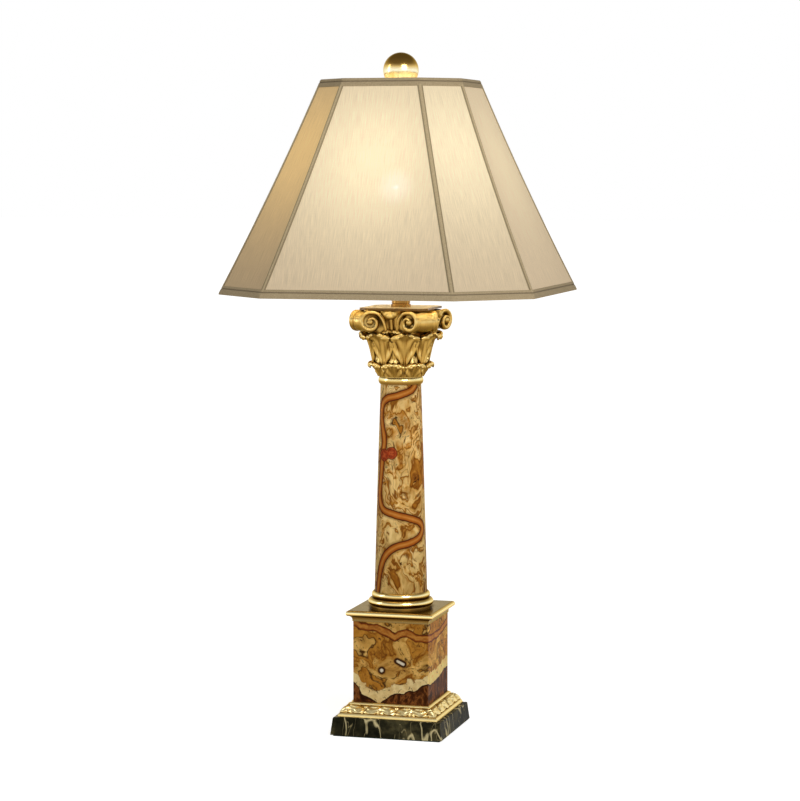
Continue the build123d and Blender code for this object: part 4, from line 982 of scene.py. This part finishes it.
def make_shade():
    strip = fold_strip("rib_trim", low=0.03, high=0.972, out=0.30, half=3.9, depth=0.8)
    stitch_from_fold = 2.7

    def to_stitch(p):
        fold = shade_point(WIDE, 1, (p.z - SHADE_FOOT) / SHADE_HEIGHT, 0)
        return abs((p - fold).length - stitch_from_fold)

    mark(strip, "seam", to_stitch)
    folds = around(strip, 4, 0, "shade_fold_trims", mirrored_too=True)
    light_up(folds, 1.0, 1.0, 0.7)
    smooth(folds, 60)
    dress(folds, TRIM, "shade", "silk_trim", "rib_trims")
    for name, low, high, seam, node in (("shade_lower_tape", 0.0, 0.040, 0.68, "bottom_binding"),
                                        ("shade_upper_tape", 0.962, 1.0, 0.62, "top_binding")):
        tape = edge_tape(name, low, high, 0.4, seam)
        stitch = SHADE_FOOT + SHADE_HEIGHT * (low + (high - low) * seam)
        mark(tape, "seam", lambda p, stitch=stitch: abs(p.z - stitch))
        light_up(tape, 1.0, 0.0, 0.0)
        smooth(tape, 40)
        dress(tape, TRIM, "shade", "silk_trim", node)
    sides = ("front", "right", "back", "left")
    corners = ("right_front", "right_back", "left_back", "left_front")
    # The bulb's bright spot shows through the front panel only.
    spot = shade_point(WIDE, 33 / 83, 0.503, 0)
    for i in range(4):
        for label, sizes, turn, node in ((sides[i], WIDE, 90 * i, "shade_wide_panels"),
                                         (corners[i], CORNER, 90 * i + 45, "shade_corner_panels")):
            light = PANEL_LIGHT[label]
            core = spot if label == "front" else None
            panel, width, slant, area = make_panel(f"cover_{label}", sizes, turn, 0.0, 0.7, COVER, "silk_shantung",
                                                   node, light, core=core)
            panel, width, slant, area = make_panel(f"lining_{label}", sizes, turn, 5.0, 0.5, LINING, "silk_lining",
                                                   "shade_lining", light, edge=0.02)


# ---- Felt ----
def make_felt():
    low, high = FELT
    deselect()
    bpy.ops.mesh.primitive_cube_add(size=1, location=(0, 0, (low.z + high.z) / 2),
                                    scale=(high.x - low.x, high.y - low.y, high.z - low.z))
    felt = bpy.context.object
    felt.name = felt.data.name = "felt_pad"
    bpy.ops.object.transform_apply(location=True, rotation=True, scale=True)
    apply_modifier(felt, "BEVEL", width=0.6 * MM, segments=2)
    smooth(felt, 40)
    dress(felt, FELT_CLOTH, "lamp_base", "felt", "base_felt")


# ---- Finishes of the frame's own pieces ----
def finish_frame():
    finishes = {
        BRIGHT: ["column_base_ring", "astragal_ring", "finial_neck"],
        CAP: ["pedestal_cap"],
        BALL: ["finial_ball"],
        PLATE: ["abacus_plate"],
        BRASS: ["neck_collar", "harp_saddle", "socket_cap", "socket_shell", "screw_shell", "centre_contact",
                "harp_wire", "harp_stud", "harp_sleeve_left", "harp_sleeve_right"],
        STEEL: ["threaded_pipe", "bottom_washer", "bottom_nut", "switch_shaft", "bulb_cap", "bulb_contact"],
        BLACK: ["cord_grommet", "switch_knob"],
        PHENOLIC: ["socket_body"],
        CARD: ["socket_liner"],
        WIRE: ["shade_ribs", "shade_bottom_ring", "shade_top_ring", "shade_spider"],
        dark_marble(): ["marble_base"],
        lit_glass(): ["bulb_glass"],
    }
    for finish, nodes in finishes.items():
        for node in nodes:
            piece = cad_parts[node]
            if not piece.material_slots:
                piece.data.materials.append(finish)
            for place in piece.material_slots:
                place.material = finish


# ---- Studio ----
def make_studio():
    scene = bpy.context.scene
    scene.view_settings.view_transform = "Standard"
    deselect()
    bpy.ops.mesh.primitive_plane_add(size=60, location=(0, 0, 0))
    floor = bpy.context.object
    floor.name = "floor"
    paper = Finish("white_paper", Base_Color=(0.8, 0.8, 0.79, 1), Roughness=1.0, Specular_IOR_Level=0.0,
                   Emission_Color=(1, 1, 1, 1))
    # Near the lamp the paper keeps its shadow, and further off it is plain white.
    away = paper.node("ShaderNodeVectorMath", {0: paper.coords}, operation="LENGTH").outputs["Value"]
    white = paper.node("ShaderNodeMapRange", {
        "Value": away, "From Min": 0.2, "From Max": 1.6, "To Min": 0.80, "To Max": 1.0}).outputs[0]
    paper.to("Emission Strength", paper.math("MULTIPLY", paper.seen_straight(), white))
    floor.data.materials.append(paper.material)

    world = bpy.data.worlds.new("studio")
    scene.world = world
    world.use_nodes = True
    world.node_tree.nodes.clear()
    sky = Nodes(world.node_tree)
    up = sky.node("ShaderNodeSeparateXYZ", {0: sky.node("ShaderNodeTexCoord").outputs["Generated"]}).outputs["Z"]
    seen = sky.node("ShaderNodeBackground", {"Color": sky.ramp(up, [(0.30, 1.0), (0.62, (0.34, 0.32, 0.29))])})
    fill = sky.node("ShaderNodeBackground", {"Color": (1.0, 0.99, 0.97, 1), "Strength": 0.18})
    mixed = sky.node("ShaderNodeMixShader", {0: sky.seen_straight(), 1: fill.outputs[0], 2: seen.outputs[0]})
    sky.node("ShaderNodeOutputWorld", {"Surface": mixed.outputs[0]})


def add_light(name, azimuth, elevation, distance, size, power, colour):
    """A light that looks at the lamp's middle, with its azimuth and elevation in degrees from the front."""
    light = bpy.data.lights.new(name, "AREA")
    light.shape = "RECTANGLE"
    light.size, light.size_y = size
    light.energy = power
    light.color = colour
    lamp = bpy.data.objects.new(name, light)
    bpy.context.collection.objects.link(lamp)
    a, e = radians(azimuth), radians(elevation)
    back = Vector((sin(a) * cos(e), -cos(a) * cos(e), sin(e)))
    lamp.location = Vector((0, 0, 0.5)) + back * distance
    lamp.rotation_mode = "QUATERNION"
    lamp.rotation_quaternion = back.to_track_quat("Z", "Y")


def make_lights():
    add_light("key", azimuth=38, elevation=26, distance=3.0, size=(1.3, 1.5), power=50, colour=(1.0, 0.985, 0.96))
    add_light("edge", azimuth=-70, elevation=15, distance=2.6, size=(0.5, 1.8), power=10, colour=(1.0, 0.98, 0.95))


def make_camera():
    """The photograph's camera, as fitted to the lamp's outline."""
    azimuth, looks_down, looks_aside = radians(15.7217), radians(5.1701), radians(0.0205)
    distance, height = 3.4744, 0.75596
    camera = bpy.data.cameras.new("camera")
    camera.sensor_fit = "HORIZONTAL"
    camera.sensor_width = 36
    camera.lens = 118.166
    camera.clip_end = 100
    eye = bpy.data.objects.new("camera", camera)
    bpy.context.collection.objects.link(eye)
    eye.location = at_turn(distance, azimuth, height)
    eye.rotation_euler = (pi / 2 - looks_down, 0, azimuth + looks_aside)
    bpy.context.scene.camera = eye


make_camera()
make_studio()
make_lights()
finish_frame()
make_felt()
make_moulding()
make_block()
make_shaft()
make_bell()
make_leaves()
make_scrolls()
make_fleurons()
make_shade()
